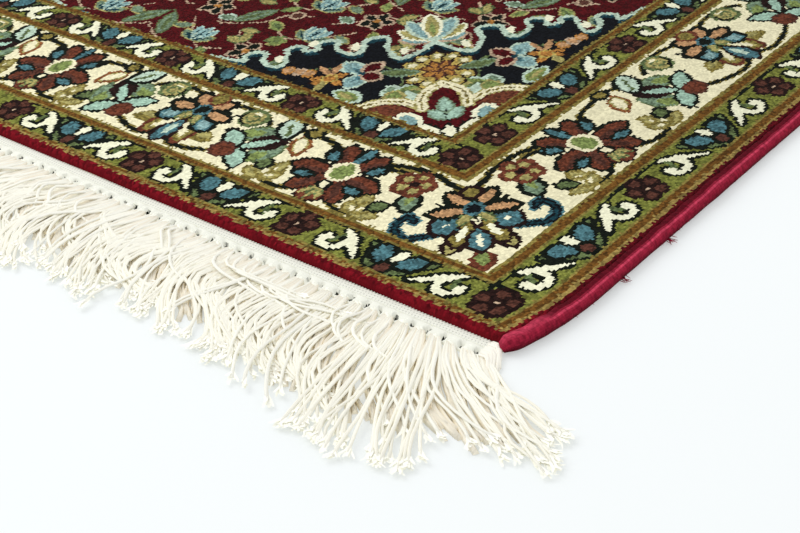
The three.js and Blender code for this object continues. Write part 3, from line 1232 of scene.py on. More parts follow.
@dataclass(frozen=True)
class PileFinish(Finish):
    """Short cut silk: every knot a small tuft with its own tone."""

    knot: Point = (1.312, 1.503)
    deepening: float = 1.11
    # Painted sheen: the level of the pile away from the ends and near them.
    sheen_ends: Point = (0.95, 1.1)
    patch_fineness: float = 190.0
    rise: float = 0.0005

    def material(self) -> bpy.types.Material:
        """Make the pile's material."""
        material, board, surface, tint = self.start()
        grain = FibreGrain.place(board, self.fineness, self.depth)
        place = board.add("ShaderNodeTexCoord").outputs["Object"]
        scale = (1 / (self.knot[0] * MM), 1 / (self.knot[1] * MM), 1.0)
        knots = board.add("ShaderNodeMapping", {"Vector": place, "Scale": scale}).outputs["Vector"]
        cells = {"Vector": knots, "Scale": 1.0, "Randomness": 0.75}
        tuft = board.add("ShaderNodeTexVoronoi", cells, voronoi_dimensions="2D")
        each = board.add("ShaderNodeSeparateColor", {"Color": tuft.outputs["Color"]}).outputs["Red"]
        patches = {"Vector": place, "Scale": self.patch_fineness, "Detail": 2.0}
        patch = board.add("ShaderNodeTexNoise", patches).outputs["Fac"]
        tone = board.math("MULTIPLY", grain.outputs["Tone"], board.spread(each, 0.0, 1.0, 0.46, 1.48))
        tone = board.math("MULTIPLY", tone, board.spread(patch, 0.3, 0.7, 0.88, 1.12))
        shade = board.spread(tuft.outputs["Distance"], 0.15, 0.75, 1.08, 0.78)
        swing = board.math("SUBTRACT", board.math("MULTIPLY", tone, shade), 1.0)
        facing = board.add("ShaderNodeNewGeometry").outputs["Normal"]
        upward = board.add("ShaderNodeSeparateXYZ", {"Vector": facing}).outputs["Z"]
        swing = board.math("MULTIPLY", swing, board.spread(upward, 0.2, 0.85, 0.3, 1.0))
        light = board.add("ShaderNodeRGBToBW", {"Color": tint}).outputs["Val"]
        level = board.math("MULTIPLY_ADD", swing, board.spread(light, 0.15, 0.75, 1.0, 0.22), 1.0)
        # Painted sheen: the pile is made paler towards the ends of the rug and a little darker elsewhere.
        along = board.add("ShaderNodeSeparateXYZ", {"Vector": place}).outputs["Y"]
        end_sheen = board.spread(board.math("ABSOLUTE", along), 0.4, 0.52, *self.sheen_ends)
        level = board.math("MULTIPLY", level, end_sheen)
        deep = board.add("ShaderNodeGamma", {"Color": tint, "Gamma": self.deepening}).outputs["Color"]
        colour = board.times(deep, level)
        height = board.math("SUBTRACT", grain.outputs["Height"], tuft.outputs["Distance"])
        self.close(board, surface, colour, height, self.rise)
        return material


@dataclass(frozen=True)
class CordFinish(Finish):
    """Silk wound round and round a cord."""

    wrap: float = 0.9
    rise: float = 0.0004

    def material(self) -> bpy.types.Material:
        """Make the side cord's material."""
        material, board, surface, tint = self.start()
        grain = FibreGrain.place(board, self.fineness, self.depth)
        place = board.add("ShaderNodeTexCoord").outputs["Object"]
        turn = {"Vector": place, "Rotation": (0.35, 0.0, 0.3), "Scale": (250.0, 1 / (self.wrap * MM), 250.0)}
        slant = board.add("ShaderNodeMapping", turn).outputs["Vector"]
        strands = {"Vector": slant, "Scale": 1.0, "Detail": 2.0}
        wraps = board.add("ShaderNodeTexNoise", strands).outputs["Fac"]
        tone = board.math("MULTIPLY", grain.outputs["Tone"], board.spread(wraps, 0.3, 0.7, 0.8, 1.18))
        height = board.math("ADD", wraps, board.math("MULTIPLY", grain.outputs["Height"], 0.5))
        self.close(board, surface, board.times(tint, tone), height, self.rise)
        return material


@dataclass(frozen=True)
class CottonFinish(Finish):
    """Soft undyed cotton of the warp, whose fuzz scatters light from above round every yarn."""

    fuzz: float = 0.3
    rise: float = 0.0003

    def material(self) -> bpy.types.Material:
        """Make the cotton's material."""
        material, board, surface, tint = self.start()
        grain = FibreGrain.place(board, self.fineness, self.depth)
        own = board.add("ShaderNodeNewGeometry").outputs["Normal"]
        upward = {0: own, 1: (0.0, 0.0, self.fuzz)}
        lifted = board.add("ShaderNodeVectorMath", upward, operation="ADD").outputs[0]
        normal = board.add("ShaderNodeVectorMath", {0: lifted}, operation="NORMALIZE").outputs[0]
        colour = board.times(tint, grain.outputs["Tone"])
        self.close(board, surface, colour, grain.outputs["Height"], self.rise, normal)
        return material


@dataclass
class KnottedSlab:
    """A closed slab with the chart on one face: neighbouring knots of one yarn share a face."""

    plan: RugPlan
    chart: Array
    first_row: int
    last_row: int
    facing_down: bool = False
    plain_z: float = 2.2
    end_share: float = 0.68
    end_reach: float = 3.9
    side_share: float = 0.86
    side_reach: float = 2.6
    ripple: float = 0.25
    wander: float = 0.3
    longest_run: int = 24
    edge_knots: int = 4
    seed: int = 41

    def draft(self) -> MeshDraft:
        """Build the slab's mesh.

        Returns:
            The finished draft.
        """
        rows, columns = self.chart.shape
        starts = self.run_starts()
        on_line = np.zeros((rows + 1, columns + 1), bool)
        on_line[:-1] |= starts
        on_line[1:] |= starts
        place = self.places(rows, columns)
        draft = MeshDraft()
        number = np.full((rows + 1, columns + 1), -1)
        lines = slice(self.first_row, self.last_row + 1)
        used = on_line[lines]
        number[lines][used] = np.arange(int(used.sum()))
        draft.add(place[lines][used])
        self.knots(draft, starts, on_line, number)
        self.close(draft, on_line, number, place)
        if self.facing_down:
            draft.faces = [corners[::-1] for corners in draft.faces]
        return draft

    def run_starts(self) -> Array:
        """Return the columns where a new run of knots starts, for every row."""
        rows, columns = self.chart.shape
        starts = np.zeros((rows, columns + 1), bool)
        starts[:, 1:-1] = self.chart[:, 1:] != self.chart[:, :-1]
        starts[:, :: self.longest_run] = True
        for edge in range(self.edge_knots):
            starts[:, edge] = starts[:, columns - edge] = True
        return starts

    def places(self, rows: int, columns: int) -> Array:
        """Return where every corner of every knot lies.

        Args:
            rows: How many rows the chart has.
            columns: How many columns it has.

        Returns:
            An array of points, line by line.
        """
        rng = np.random.default_rng(self.seed)
        across = np.arange(columns + 1) / columns * 2 - 1
        along = np.arange(rows + 1) / rows * 2 - 1
        x, y = np.meshgrid(across * self.plan.half_width, along * self.plan.half_length)
        shift = rng.uniform(-self.wander, self.wander, (2, rows + 1, columns + 1))
        shift[0][:, [0, -1]] = 0.0
        shift[1][[0, -1]] *= 0.8
        shift[1][:, [0, -1]] = 0.0
        from_side, from_end = self.plan.half_width - np.abs(x), self.plan.half_length - np.abs(y)
        z = self.plan.thickness * self.fall(from_side, self.side_share, self.side_reach)
        z *= self.fall(from_end, self.end_share, self.end_reach)
        waves = self.ripple * np.sin(x / 61 + 0.8 * np.sin(y / 90)) * np.sin(y / 74 + 1.1)
        z += waves * ease(from_side, 0, 30)
        if self.facing_down:
            z = np.zeros_like(z)
        narrowed = 1 - self.plan.pulled(y) / self.plan.half_width
        x = (x + shift[0] * 2 * self.plan.half_width / columns) * narrowed
        y = y + shift[1] * 2 * self.plan.half_length / rows
        return np.stack([x, y, z], axis=-1)

    def fall(self, inset: Array, share: float, reach: float) -> Array:
        """Return the share of the full height at a distance in from an edge."""
        turn = 1 - np.clip(inset / reach, 0.0, 1.0)
        return share + (1 - share) * np.sqrt(1 - turn**2)

    def knots(self, draft: MeshDraft, starts: Array, on_line: Array, number: Array) -> None:
        """Add a face for every run of knots.

        Args:
            draft: The mesh to add to.
            starts: Where the runs of each row start.
            on_line: Which corners each line between rows has.
            number: The corners' numbers.
        """
        dyes = [linear(silk.value) for silk in YARNS]
        for row in range(self.first_row, self.last_row):
            stops = np.flatnonzero(starts[row])
            lower, upper = np.flatnonzero(on_line[row]), np.flatnonzero(on_line[row + 1])
            low_at, up_at = np.searchsorted(lower, stops), np.searchsorted(upper, stops)
            low_numbers, up_numbers = number[row, lower].tolist(), number[row + 1, upper].tolist()
            for k in range(len(stops) - 1):
                near = low_numbers[low_at[k] : low_at[k + 1] + 1]
                far = up_numbers[up_at[k] : up_at[k + 1] + 1]
                draft.face(near + far[::-1], dyes[self.chart[row, stops[k]]])

    def close(self, draft: MeshDraft, on_line: Array, number: Array, place: Array) -> None:
        """Add the walls round the slab and its plain face.

        Args:
            draft: The mesh to add to.
            on_line: Which corners each line between rows has.
            number: The corners' numbers.
            place: Where the corners lie.
        """
        rim = np.zeros_like(on_line)
        lines = slice(self.first_row, self.last_row + 1)
        rim[lines, 0] = rim[lines, -1] = True
        for line in (self.first_row, self.last_row):
            rim[line] = on_line[line]
        twin = np.full(number.shape, -1)
        twin[rim] = draft.count + np.arange(int(rim.sum()))
        below = place[rim].copy()
        below[:, 2] = self.plain_z
        draft.add(below)
        edge_dye, plain_dye = linear(CRIMSON.value), linear(CREAM.value)
        first, last = np.flatnonzero(rim[self.first_row]), np.flatnonzero(rim[self.last_row])
        loop = [(self.first_row, c) for c in first]
        loop += [(line, on_line.shape[1] - 1) for line in range(self.first_row + 1, self.last_row)]
        loop += [(self.last_row, c) for c in last[::-1]]
        loop += [(line, 0) for line in range(self.last_row - 1, self.first_row, -1)]
        for here, there in zip(loop, loop[1:] + loop[:1]):
            corners = [number[there], number[here], twin[here], twin[there]]
            draft.face([int(c) for c in corners], edge_dye, True)
        for row in range(self.first_row, self.last_row):
            near, far = (twin[line][rim[line]].tolist() for line in (row, row + 1))
            draft.face((near + far[::-1])[::-1], plain_dye, True)


def dress(piece: bpy.types.Object, node: str) -> bpy.types.Object:
    """Hide the frame's node that a piece replaces and attach the piece to the root body.

    Args:
        piece: The piece.
        node: The node that it replaces.

    Returns:
        The same piece.
    """
    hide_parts(node)
    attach(piece, "root")
    return piece


@dataclass
class SideCord:
    """A cord along a long side, overcast in crimson silk."""

    plan: RugPlan
    piece: str
    node: str
    turned: bool
    seed: int
    sides: int = 22
    step: float = 3.0
    lumpiness: float = 0.07
    swell: float = 1.13
    tuck: float = 2.4
    widening: float = 1.55
    clearance: float = 0.05
    seam_height: float = 0.93
    overhang: float = 2.5
    fuzz: int = 420
    end_reach: float = 3.5
    tuck_reach: float = 9.0
    # Where round the cord the painted highlight lies and how wide it is, in degrees, along the cord and at
    # its ends.
    highlight_turn: float = 67.0
    highlight_width: float = 13.0
    end_highlight_turn: float = 97.0
    end_highlight_width: float = 30.0
    loose_places: Point = (-511.0, -470.0)
    loose_ends: int = 12
    colour: Colour = (140, 30, 51)
    # The groove and lower colours are painted shade, the ridge colour a painted highlight.
    groove_shade_colour: Colour = (84, 11, 24)
    highlight_colour: Colour = (188, 62, 86)
    underside_shade_colour: Colour = (80, 10, 24)

    def build(self, finish: CordFinish) -> bpy.types.Object:
        """Build and dress the cord.

        Args:
            finish: Its finish.

        Returns:
            The piece.
        """
        rng = np.random.default_rng(self.seed)
        draft = MeshDraft()
        half = self.plan.half_length + self.overhang
        count = int(2 * half / self.step)
        y = -half + 2 * half * np.arange(count + 1) / count
        lumps = np.convolve(rng.normal(0, 1, count + 5), np.hanning(5) / 2.0, mode="valid")
        from_end = half - np.abs(y)
        girth = 0.55 + 0.45 * np.sqrt(1 - (1 - np.clip(from_end / self.end_reach, 0, 1)) ** 2)
        girth *= 1 + self.lumpiness * lumps
        radius = self.swell * self.plan.cord_radius * girth
        x = self.plan.cord_middle - (self.swell - 1) * self.plan.cord_radius - self.plan.pulled(y)
        x -= self.tuck * (1 - np.clip(from_end / self.tuck_reach, 0, 1)) ** 2
        draft.tube(np.stack([x, y, radius], 1), radius, self.sides, linear(self.colour))
        self.press(draft.points[0], x, y)
        self.shade(draft, count)
        self.fibres(draft, rng)
        return dress(draft.make(self.piece, finish.shared(), self.turned), self.node)

    def shade(self, draft: MeshDraft, count: int) -> None:
        """Paint shade into the silk in the groove beside the pile and under the cord, and a painted
        highlight along its ridge.

        Args:
            draft: The cord's mesh.
            count: How many steps its tube has.
        """
        turn = ((np.arange(self.sides) + 0.5) * 360 / self.sides + 90) % 360
        tones = (self.colour, self.groove_shade_colour, self.highlight_colour, self.underside_shade_colour)
        body, groove, ridge, lower = (np.array(linear(c)) for c in tones)
        # Painted shade on the underside, a painted highlight along the ridge that is broad near the ends,
        # and painted shade in the groove beside the pile.
        underside_shade = (1 - ease((turn + 90) % 360 - 90, -25, 40))[:, None]
        below = body + (lower - body) * underside_shade
        end_highlight = np.exp(-(((turn - self.end_highlight_turn) / self.end_highlight_width) ** 2))[:, None]
        along = np.exp(-(((turn - self.highlight_turn) / self.highlight_width) ** 2))[:, None]
        plain = below + (ridge - below) * 0.8 * end_highlight
        tones = below + (ridge - below) * 0.9 * along
        tones += (groove - tones) * (ease(turn, 72, 94) * (1 - ease(turn, 215, 240)))[:, None]
        from_end = (0.5 - np.abs(np.arange(count) + 0.5 - count / 2) / count) * 2 * self.plan.half_length
        share = ease(from_end, 14.0, 34.0)[:, None, None]
        draft.colours[: count * self.sides] = (plain + (tones - plain) * share).reshape(-1, 3).tolist()

    def press(self, points: Array, x: Array, y: Array) -> None:
        """Widen the cord towards the pile and fill the groove where the two meet.

        Args:
            points: The tube's points, changed in place.
            x: Where the cord's middle runs.
            y: The places along it.
        """
        middle = np.repeat(x, self.sides)
        wall = self.plan.half_width - np.repeat(self.plan.pulled(y), self.sides) + self.clearance
        inner = points[:, 0] < middle
        points[inner, 0] = middle[inner] + (points[inner, 0] - middle[inner]) * self.widening
        points[:, 0] = np.maximum(points[:, 0], wall)
        upper = inner & (points[:, 2] > 0.8 * self.plan.cord_radius)
        crown = self.seam_height * self.plan.thickness
        points[upper, 2] += 0.85 * np.maximum(crown - points[upper, 2], 0.0)

    def fibres(self, draft: MeshDraft, rng: np.random.Generator) -> None:
        """Add the silk's short fuzz, and the few longer ends that have worked loose on the outer side."""
        half = self.plan.half_length - 4.0
        places = [(y, rng.uniform(-10, 130), 1.7, 0.19) for y in rng.uniform(-half, half, self.fuzz)]
        for y in np.repeat(self.loose_places, self.loose_ends):
            places.append((y + rng.uniform(-2, 2), rng.uniform(-50, 0), 4.5, 0.24))
        for y, turn, length, thick in places:
            a, c = on_oval(turn, 1.0, 1.0)
            out = np.array([a, rng.uniform(-0.9, 0.9), c])
            radius = self.plan.cord_radius
            middle = np.array([self.plan.cord_middle - self.plan.pulled(np.array([y]))[0], y, radius])
            start = middle + (radius - 0.25) * out * (1, 0, 1)
            path = start + np.linspace(0, 1, 3)[:, None] * out * rng.uniform(0.5, 1.0) * length
            path[:, 2] = np.maximum(path[:, 2], 2 * thick)
            draft.tube(path, np.array([1.0, 0.8, 0.4]) * thick, 3, linear(self.colour))


# The lie of the fringe: places across an end in millimetres from its middle, then
# the lean towards +X in degrees at the knots and at the tips, and the yarns' length.
FRINGE_PLACES = (-362, -300, -100, 40, 100, 180, 250, 290, 320, 345, 362)
FRINGE_LIE = (
    (-20, -8, -14, -15, -9, -6, 0, 8, 22, 38, 50),
    (-24, 10, 22, 26, 36, 42, 42, 44, 50, 58, 66),
    (56, 60, 62, 59, 63, 69, 74, 80, 84, 82, 74),
)


@dataclass(frozen=True)
class Clump:
    """A few neighbouring knots whose yarns lie together, and how they differ from the general lie."""

    lean: float
    rise: float
    longer: float
    bend: float
    sway: float
    phase: float
    waves: float
    thick: float
    colour: Colour

    @classmethod
    def over(cls, rng: np.random.Generator) -> Clump:
        """Draw a clump of the upper layer at random."""
        lean, rise, longer = rng.normal(2, 14), rng.uniform(0.3, 1.5), rng.normal(0, 5)
        bend, sway = rng.uniform(0.25, 0.65), rng.normal(0, 25)
        phase, waves = rng.random(), rng.uniform(0.6, 1.2)
        return cls(lean, rise, longer, bend, sway, phase, waves, 1.0, (255, 252, 238))

    @classmethod
    def under(cls, rng: np.random.Generator) -> Clump:
        """Draw a clump of the lower layer at random, flat on the floor."""
        lean, rise, longer = rng.normal(0, 5), rng.uniform(-1.5, -0.8), rng.normal(-13, 3)
        bend, sway, phase, waves = 0.45, rng.normal(0, 9), rng.random(), 1.1
        # The lower layer is tinted warmer and darker than the yarns above it: painted shade under the upper
        # layers.
        return cls(lean, rise, longer, bend, sway, phase, waves, 1.45, (254, 246, 227))

    @classmethod
    def loose(cls, rng: np.random.Generator) -> Clump:
        """Draw a yarn that lies loose over the rest at random, now and then a short one."""
        lean, rise = rng.normal(2, 24), rng.uniform(1.2, 2.4)
        longer = rng.uniform(-34, -14) if rng.random() < 0.28 else rng.normal(-3, 5)
        bend, sway = rng.uniform(0.2, 0.7), rng.normal(0, 26)
        phase, waves = rng.random(), rng.uniform(0.6, 1.2)
        return cls(lean, rise, longer, bend, sway, phase, waves, 1.0, (255, 253, 241))


class Layer(Enum):
    """The layers of yarn from the floor up: yarns to a knot, and the chance that a new clump starts."""

    UNDER = (8, 0.45)
    OVER = (8, 0.5)
    LOOSE = (2, 0.5)

    def clump(self, rng: np.random.Generator) -> Clump:
        """Draw a clump of this layer at random."""
        return getattr(Clump, self.name.lower())(rng)


@dataclass
class FringedEnd:
    """One end of the rug: flat woven strip, a row of warp knots and the loose warp yarns."""

    plan: RugPlan
    label: str
    node: str
    turned: bool
    seed: int
    knots: int = 83
    knot_inset: float = 4.0
    layers: tuple[Layer, ...] = tuple(Layer)
    yarn_radius: float = 0.83
    yarn_steps: int = 12
    yarn_sides: int = 4
    fibres: int = 6
    stray_share: float = 0.06
    rib: float = 1.74
    strip_height: float = 1.5
    strip_reach: float = 6.2
    row_start: float = 6.3
    hole_depth: float = 4.5
    lean_spread: float = 7.0
    stray_spread: float = 20.0
    tip_reach: Point = (5.0, 8.6)
    colour: Colour = (251, 251, 238)
    # The hole colour is the painted shade of the holes and rib valleys.
    hole_shade_colour: Colour = (22, 25, 18)
    tail_colour: Colour = (247, 243, 231)
    tip_colour: Colour = (251, 250, 240)

    @property
    def knot_pitch(self) -> float:
        """The distance from knot to knot."""
        return 2 * (self.plan.strip_half - self.knot_inset) / (self.knots - 1)

    def knot_places(self) -> Array:
        """Return where the knots stand across the end."""
        reach = self.plan.strip_half - self.knot_inset
        return np.linspace(-reach, reach, self.knots)

    def build_strip(self, finish: CottonFinish) -> bpy.types.Object:
        """Build the flat woven strip and its row of knots.

        Args:
            finish: The cotton's finish.

        Returns:
            The piece.
        """
        draft = MeshDraft()
        self.ribbed_strip(draft)
        self.knot_row(draft)
        name = f"flat_woven_strip_{self.label}"
        return dress(draft.make(name, finish.shared(), self.turned), self.node)

    def ribbed_strip(self, draft: MeshDraft) -> None:
        """Add the strip: a low slab whose top shows the weave as rows of short staggered ribs."""
        half, start = self.plan.strip_half, -self.plan.half_length - 0.1
        x = np.linspace(-half, half, int(2 * half / self.rib) * 3 + 1)
        line = np.arange(7)
        stations = start - self.strip_reach * line / 6
        turn = np.arange(len(x))[None] / 3 + 1 / 6 + (line // 2 % 2)[:, None] / 3
        crest = np.abs(np.sin(np.pi * turn))
        bulge = 0.7 * np.sin(np.pi / 2 * line / 6)[:, None]
        z = self.strip_height + 0.3 + bulge + 0.8 * crest
        # Painted shade darkens the rib valleys, and a little of it lies over the rest of the top.
        self.grid(draft, x, stations, z, np.where(crest < 0.6, 0.42, 0.12))

    def knot_row(self, draft: MeshDraft) -> None:
        """Add the row where the warps are tied off, with small uneven holes between the knots."""
        rng = np.random.default_rng(self.seed + 50)
        half = self.plan.strip_half
        x = np.linspace(-half, half, self.knots * 11 + 1)
        top = -self.plan.half_length - self.row_start
        stations = top - np.array([0.0, 1.0, 1.8, 2.4, 3.0, 3.6, 4.2, 5.0, 5.9])
        off = (x[None] - self.knot_places()[0]) / self.knot_pitch
        number = np.clip(np.floor(off).astype(int) + 1, 0, self.knots)
        wide, tall, shift, slant = (
            rng.uniform(low, high, self.knots + 1)[number]
            for low, high in ((0.9, 1.5), (0.9, 1.4), (-0.9, 0.9), (-0.7, 0.7))
        )
        y = stations[:, None] - top + 3.2
        from_hole = (off - np.floor(off) - 0.5) * self.knot_pitch - shift - slant * y
        open_share = rng.uniform(0.0, 1.0, self.knots + 1)[number]
        open_share = np.clip(open_share + 0.45 + 0.7 * ease(x, 150, 270), 0, 1)
        hole = open_share * np.exp(-((from_hole / wide) ** 4) - (y / tall) ** 4)
        crest = np.abs(np.sin(np.pi * x / self.rib))
        z = (self.strip_height + 0.7) * (1 - ease(3.2 - y, 3.2, 6.0)) + 0.3 + 0.7 * crest
        z = z - self.hole_depth * hole
        # Painted shade darkens the holes, and a little of it lies over the rest of the row.
        self.grid(draft, x, stations, np.maximum(z, 0.3), np.clip(5.0 * hole - 0.2, 0.13, 1))
        self.knot_wraps(draft, rng)
        self.strip_tails(draft, rng)

    def knot_wraps(self, draft: MeshDraft, rng: np.random.Generator) -> None:
        """Wind a few turns of yarn over every knot."""
        edge = -self.plan.strip_end + 3.2
        run = np.linspace(-1, 1, 5)
        bow = np.sqrt(np.maximum(1 - run**2, 0.0))
        for x in self.knot_places():
            for k in range(3):
                lean, wide = rng.uniform(-1.4, 1.4), rng.uniform(1.7, 2.7)
                along = edge - 1.2 * k + lean * run
                across = x + rng.uniform(-0.5, 0.5) + run * wide
                path = np.stack([across, along, 0.8 + (1.7 - 0.2 * k) * bow], 1)
                draft.tube(path, np.full(5, rng.uniform(0.55, 0.75)), 4, linear(self.colour))

    def strip_tails(self, draft: MeshDraft, rng: np.random.Generator) -> None:
        """Turn the strip's own yarns down over its two ends in short thick tails."""
        for side in (-1, 1):
            for y in np.linspace(-self.plan.half_length - 0.8, -self.plan.strip_end + 0.4, 9):
                down = rng.uniform(9.0, 17.0)
                across = np.array([-6.0, -2.0, 0.4, 3.2, 6.8]) + rng.uniform(-0.4, 0.4, 5)
                along = np.array([0.0, -0.03, -0.22, -0.58, -1.0]) * down
                height = np.array([2.5, 3.1, 2.9, 1.9, 1.0]) + rng.uniform(-0.2, 0.3)
                path = np.stack([side * (self.plan.strip_half + across), y + along, height], 1)
                draft.tube(path, np.array([0.8, 0.85, 0.85, 0.8, 0.6]), 5, linear(self.tail_colour))

    def grid(self, draft: MeshDraft, x: Array, y: Array, z: Array, dark: Array) -> None:
        """Add a closed slab over a grid of places, flat on the floor.

        Args:
            draft: The mesh to add to.
            x: Places across.
            y: Places along, from the pile outwards.
            z: Heights, row by row.
            dark: How much painted shade each place takes, from 0 to 1.
        """
        rows, columns = z.shape
        gx, gy = np.meshgrid(x, y)
        first = draft.add(np.stack([gx, gy, z], -1).reshape(-1, 3))
        light, deep = np.array(linear(self.colour)), np.array(linear(self.hole_shade_colour))
        for r in range(rows - 1):
            pair = dark[r : r + 2]
            shade = np.minimum(pair[:, :-1], pair[:, 1:]).min(axis=0)
            tints = light + (deep - light) * shade[:, None]
            for c in range(columns - 1):
                a = first + r * columns + c
                draft.face([a, a + columns, a + columns + 1, a + 1], tuple(tints[c]))
        rim = [(0, c) for c in range(columns)] + [(r, columns - 1) for r in range(1, rows)]
        rim += [(rows - 1, c) for c in range(columns - 2, -1, -1)] + [(r, 0) for r in range(rows - 2, 0, -1)]
        below = draft.add(np.array([(gx[rc], gy[rc], 0.0) for rc in rim]))
        tops = [first + r * columns + c for r, c in rim]
        for k in range(len(rim)):
            after = (k + 1) % len(rim)
            draft.face([tops[k], tops[after], below + after, below + k], tuple(light), True)
        draft.face(list(range(below, below + len(rim))), tuple(light), True)

    def build_yarns(self, finish: CottonFinish) -> bpy.types.Object:
        """Build the loose warp yarns: an even layer below and looser clumps over it.

        Args:
            finish: The cotton's finish.

        Returns:
            The piece.
        """
        rng = np.random.default_rng(self.seed)
        draft = MeshDraft()
        for layer in self.layers:
            yarns, fresh = layer.value
            clump = layer.clump(rng)
            for x in self.knot_places():
                gather = rng.uniform(-0.3, 0.7)
                for k in range(yarns):
                    if rng.random() < (fresh if layer is Layer.LOOSE or k == 0 else 0.0):
                        clump = layer.clump(rng)
                    off = self.knot_pitch * ((k + rng.random()) / yarns - 0.5)
                    self.yarn(draft, rng, x, off, gather, clump)
        name = f"warp_fringe_{self.label}"
        return dress(draft.make(name, finish.shared(), self.turned), self.node)

    def yarn(
        self,
        draft: MeshDraft,
        rng: np.random.Generator,
        knot: float,
        off: float,
        gather: float,
        clump: Clump,
    ) -> None:
        """Add one yarn with its frayed tip.

        Args:
            draft: The mesh to add to.
            rng: The source of its small differences.
            knot: Where its knot stands across the end.
            off: How far from the knot's middle it starts.
            gather: How far the knot's yarns draw together towards their tips.
            clump: How its clump lies.
        """
        s = np.linspace(0, 1, self.yarn_steps)
        x = knot + off
        root, tip, length = (float(np.interp(x, FRINGE_PLACES, row)) for row in FRINGE_LIE)
        length += clump.longer + rng.normal(0, 3.0)
        stray = self.stray_spread if rng.random() < self.stray_share else self.lean_spread
        calm = 1 - 0.5 * float(ease(x, 310, 355))
        lean = (clump.lean + rng.normal(0, stray)) * calm
        bend = ease(s, clump.bend - 0.35, clump.bend + 0.3 + rng.normal(0, 0.05))
        sway = clump.sway * calm * np.sin(2 * np.pi * (s * clump.waves + clump.phase)) * ease(s, 0.05, 0.4)
        curl = rng.normal(0, 7.0)
        wave = s * rng.uniform(1.0, 1.9) + rng.random()
        own = curl * np.sin(2 * np.pi * wave) * ease(s, 0, 0.3)
        swing = np.radians(root + (tip + lean - root) * bend + sway + own)
        step = length / (self.yarn_steps - 1)
        gx = np.concatenate([[0], np.cumsum(np.sin(swing[:-1]) * step)]) - off * gather * ease(s, 0.15, 0.9)
        gx -= 0.4 * off * (1 - ease(s, 0.0, 0.16))
        gy = np.concatenate([[0], np.cumsum(np.cos(swing[:-1]) * step)])
        lift = np.interp(s, (0, 0.1, 0.2, 0.38, 0.6, 0.8, 1), (0.6, 0.8, 1.7, 3.0, 2.6, 1.5, 0.4))
        rise = clump.rise + rng.uniform(-0.5, 0.7)
        over = rise * np.interp(s, (0, 0.12, 0.4, 0.8, 1), (0.1, 0.3, 1.0, 0.8, 0.6))
        z = np.maximum(lift + over, 0) + self.yarn_radius
        root_y = -self.plan.strip_end + 1.0 + rng.uniform(-0.6, 0.6)
        path = np.stack([x + gx, root_y - gy, z], 1)
        below = clump.rise < 0
        girth = np.interp(s, (0, 0.08, 1), (0.8, 1.0, 1.3 if below else 0.95)) * rng.uniform(0.88, 1.14)
        girth *= clump.thick * self.yarn_radius
        tone = rng.uniform(0.9, 0.97)
        sides = 3 if below else self.yarn_sides
        draft.tube(path, girth, sides, tuple(c * tone for c in linear(clump.colour)))
        if not below:
            self.frayed_tip(draft, rng, path)

    def frayed_tip(self, draft: MeshDraft, rng: np.random.Generator, path: Array) -> None:
        """Open the end of a yarn into a soft ragged brush of fibres.

        Args:
            draft: The mesh to add to.
            rng: The source of its small differences.
            path: The yarn's path.
        """
        ahead = path[-1] - path[-3]
        ahead /= np.linalg.norm(ahead)
        side = np.array([-ahead[1], ahead[0], 0.0])
        s = np.array([0.0, 0.4, 0.75, 1.0])[:, None]
        spread = rng.uniform(0.2, 0.5)
        for k in range(self.fibres):
            reach = rng.uniform(*self.tip_reach)
            swerve = spread * ((k + 0.5) / self.fibres - 0.5) * 2 + rng.normal(0, 0.12)
            fibre = path[-1] - 4.5 * ahead + reach * (s * ahead + swerve * s**1.4 * side)
            fibre += s * side * rng.normal(0, 0.8, (4, 1))
            fibre[:, 2] = np.maximum(fibre[:, 2] + s[:, 0] * rng.uniform(-0.6, 1.4), 0.25 + 0.05 * k)
            wide = np.array([0.45, 0.78, 0.74, 0.4])[:, None] * rng.uniform(0.75, 1.2)
            draft.ribbon(fibre, wide * side, linear(self.tip_colour))


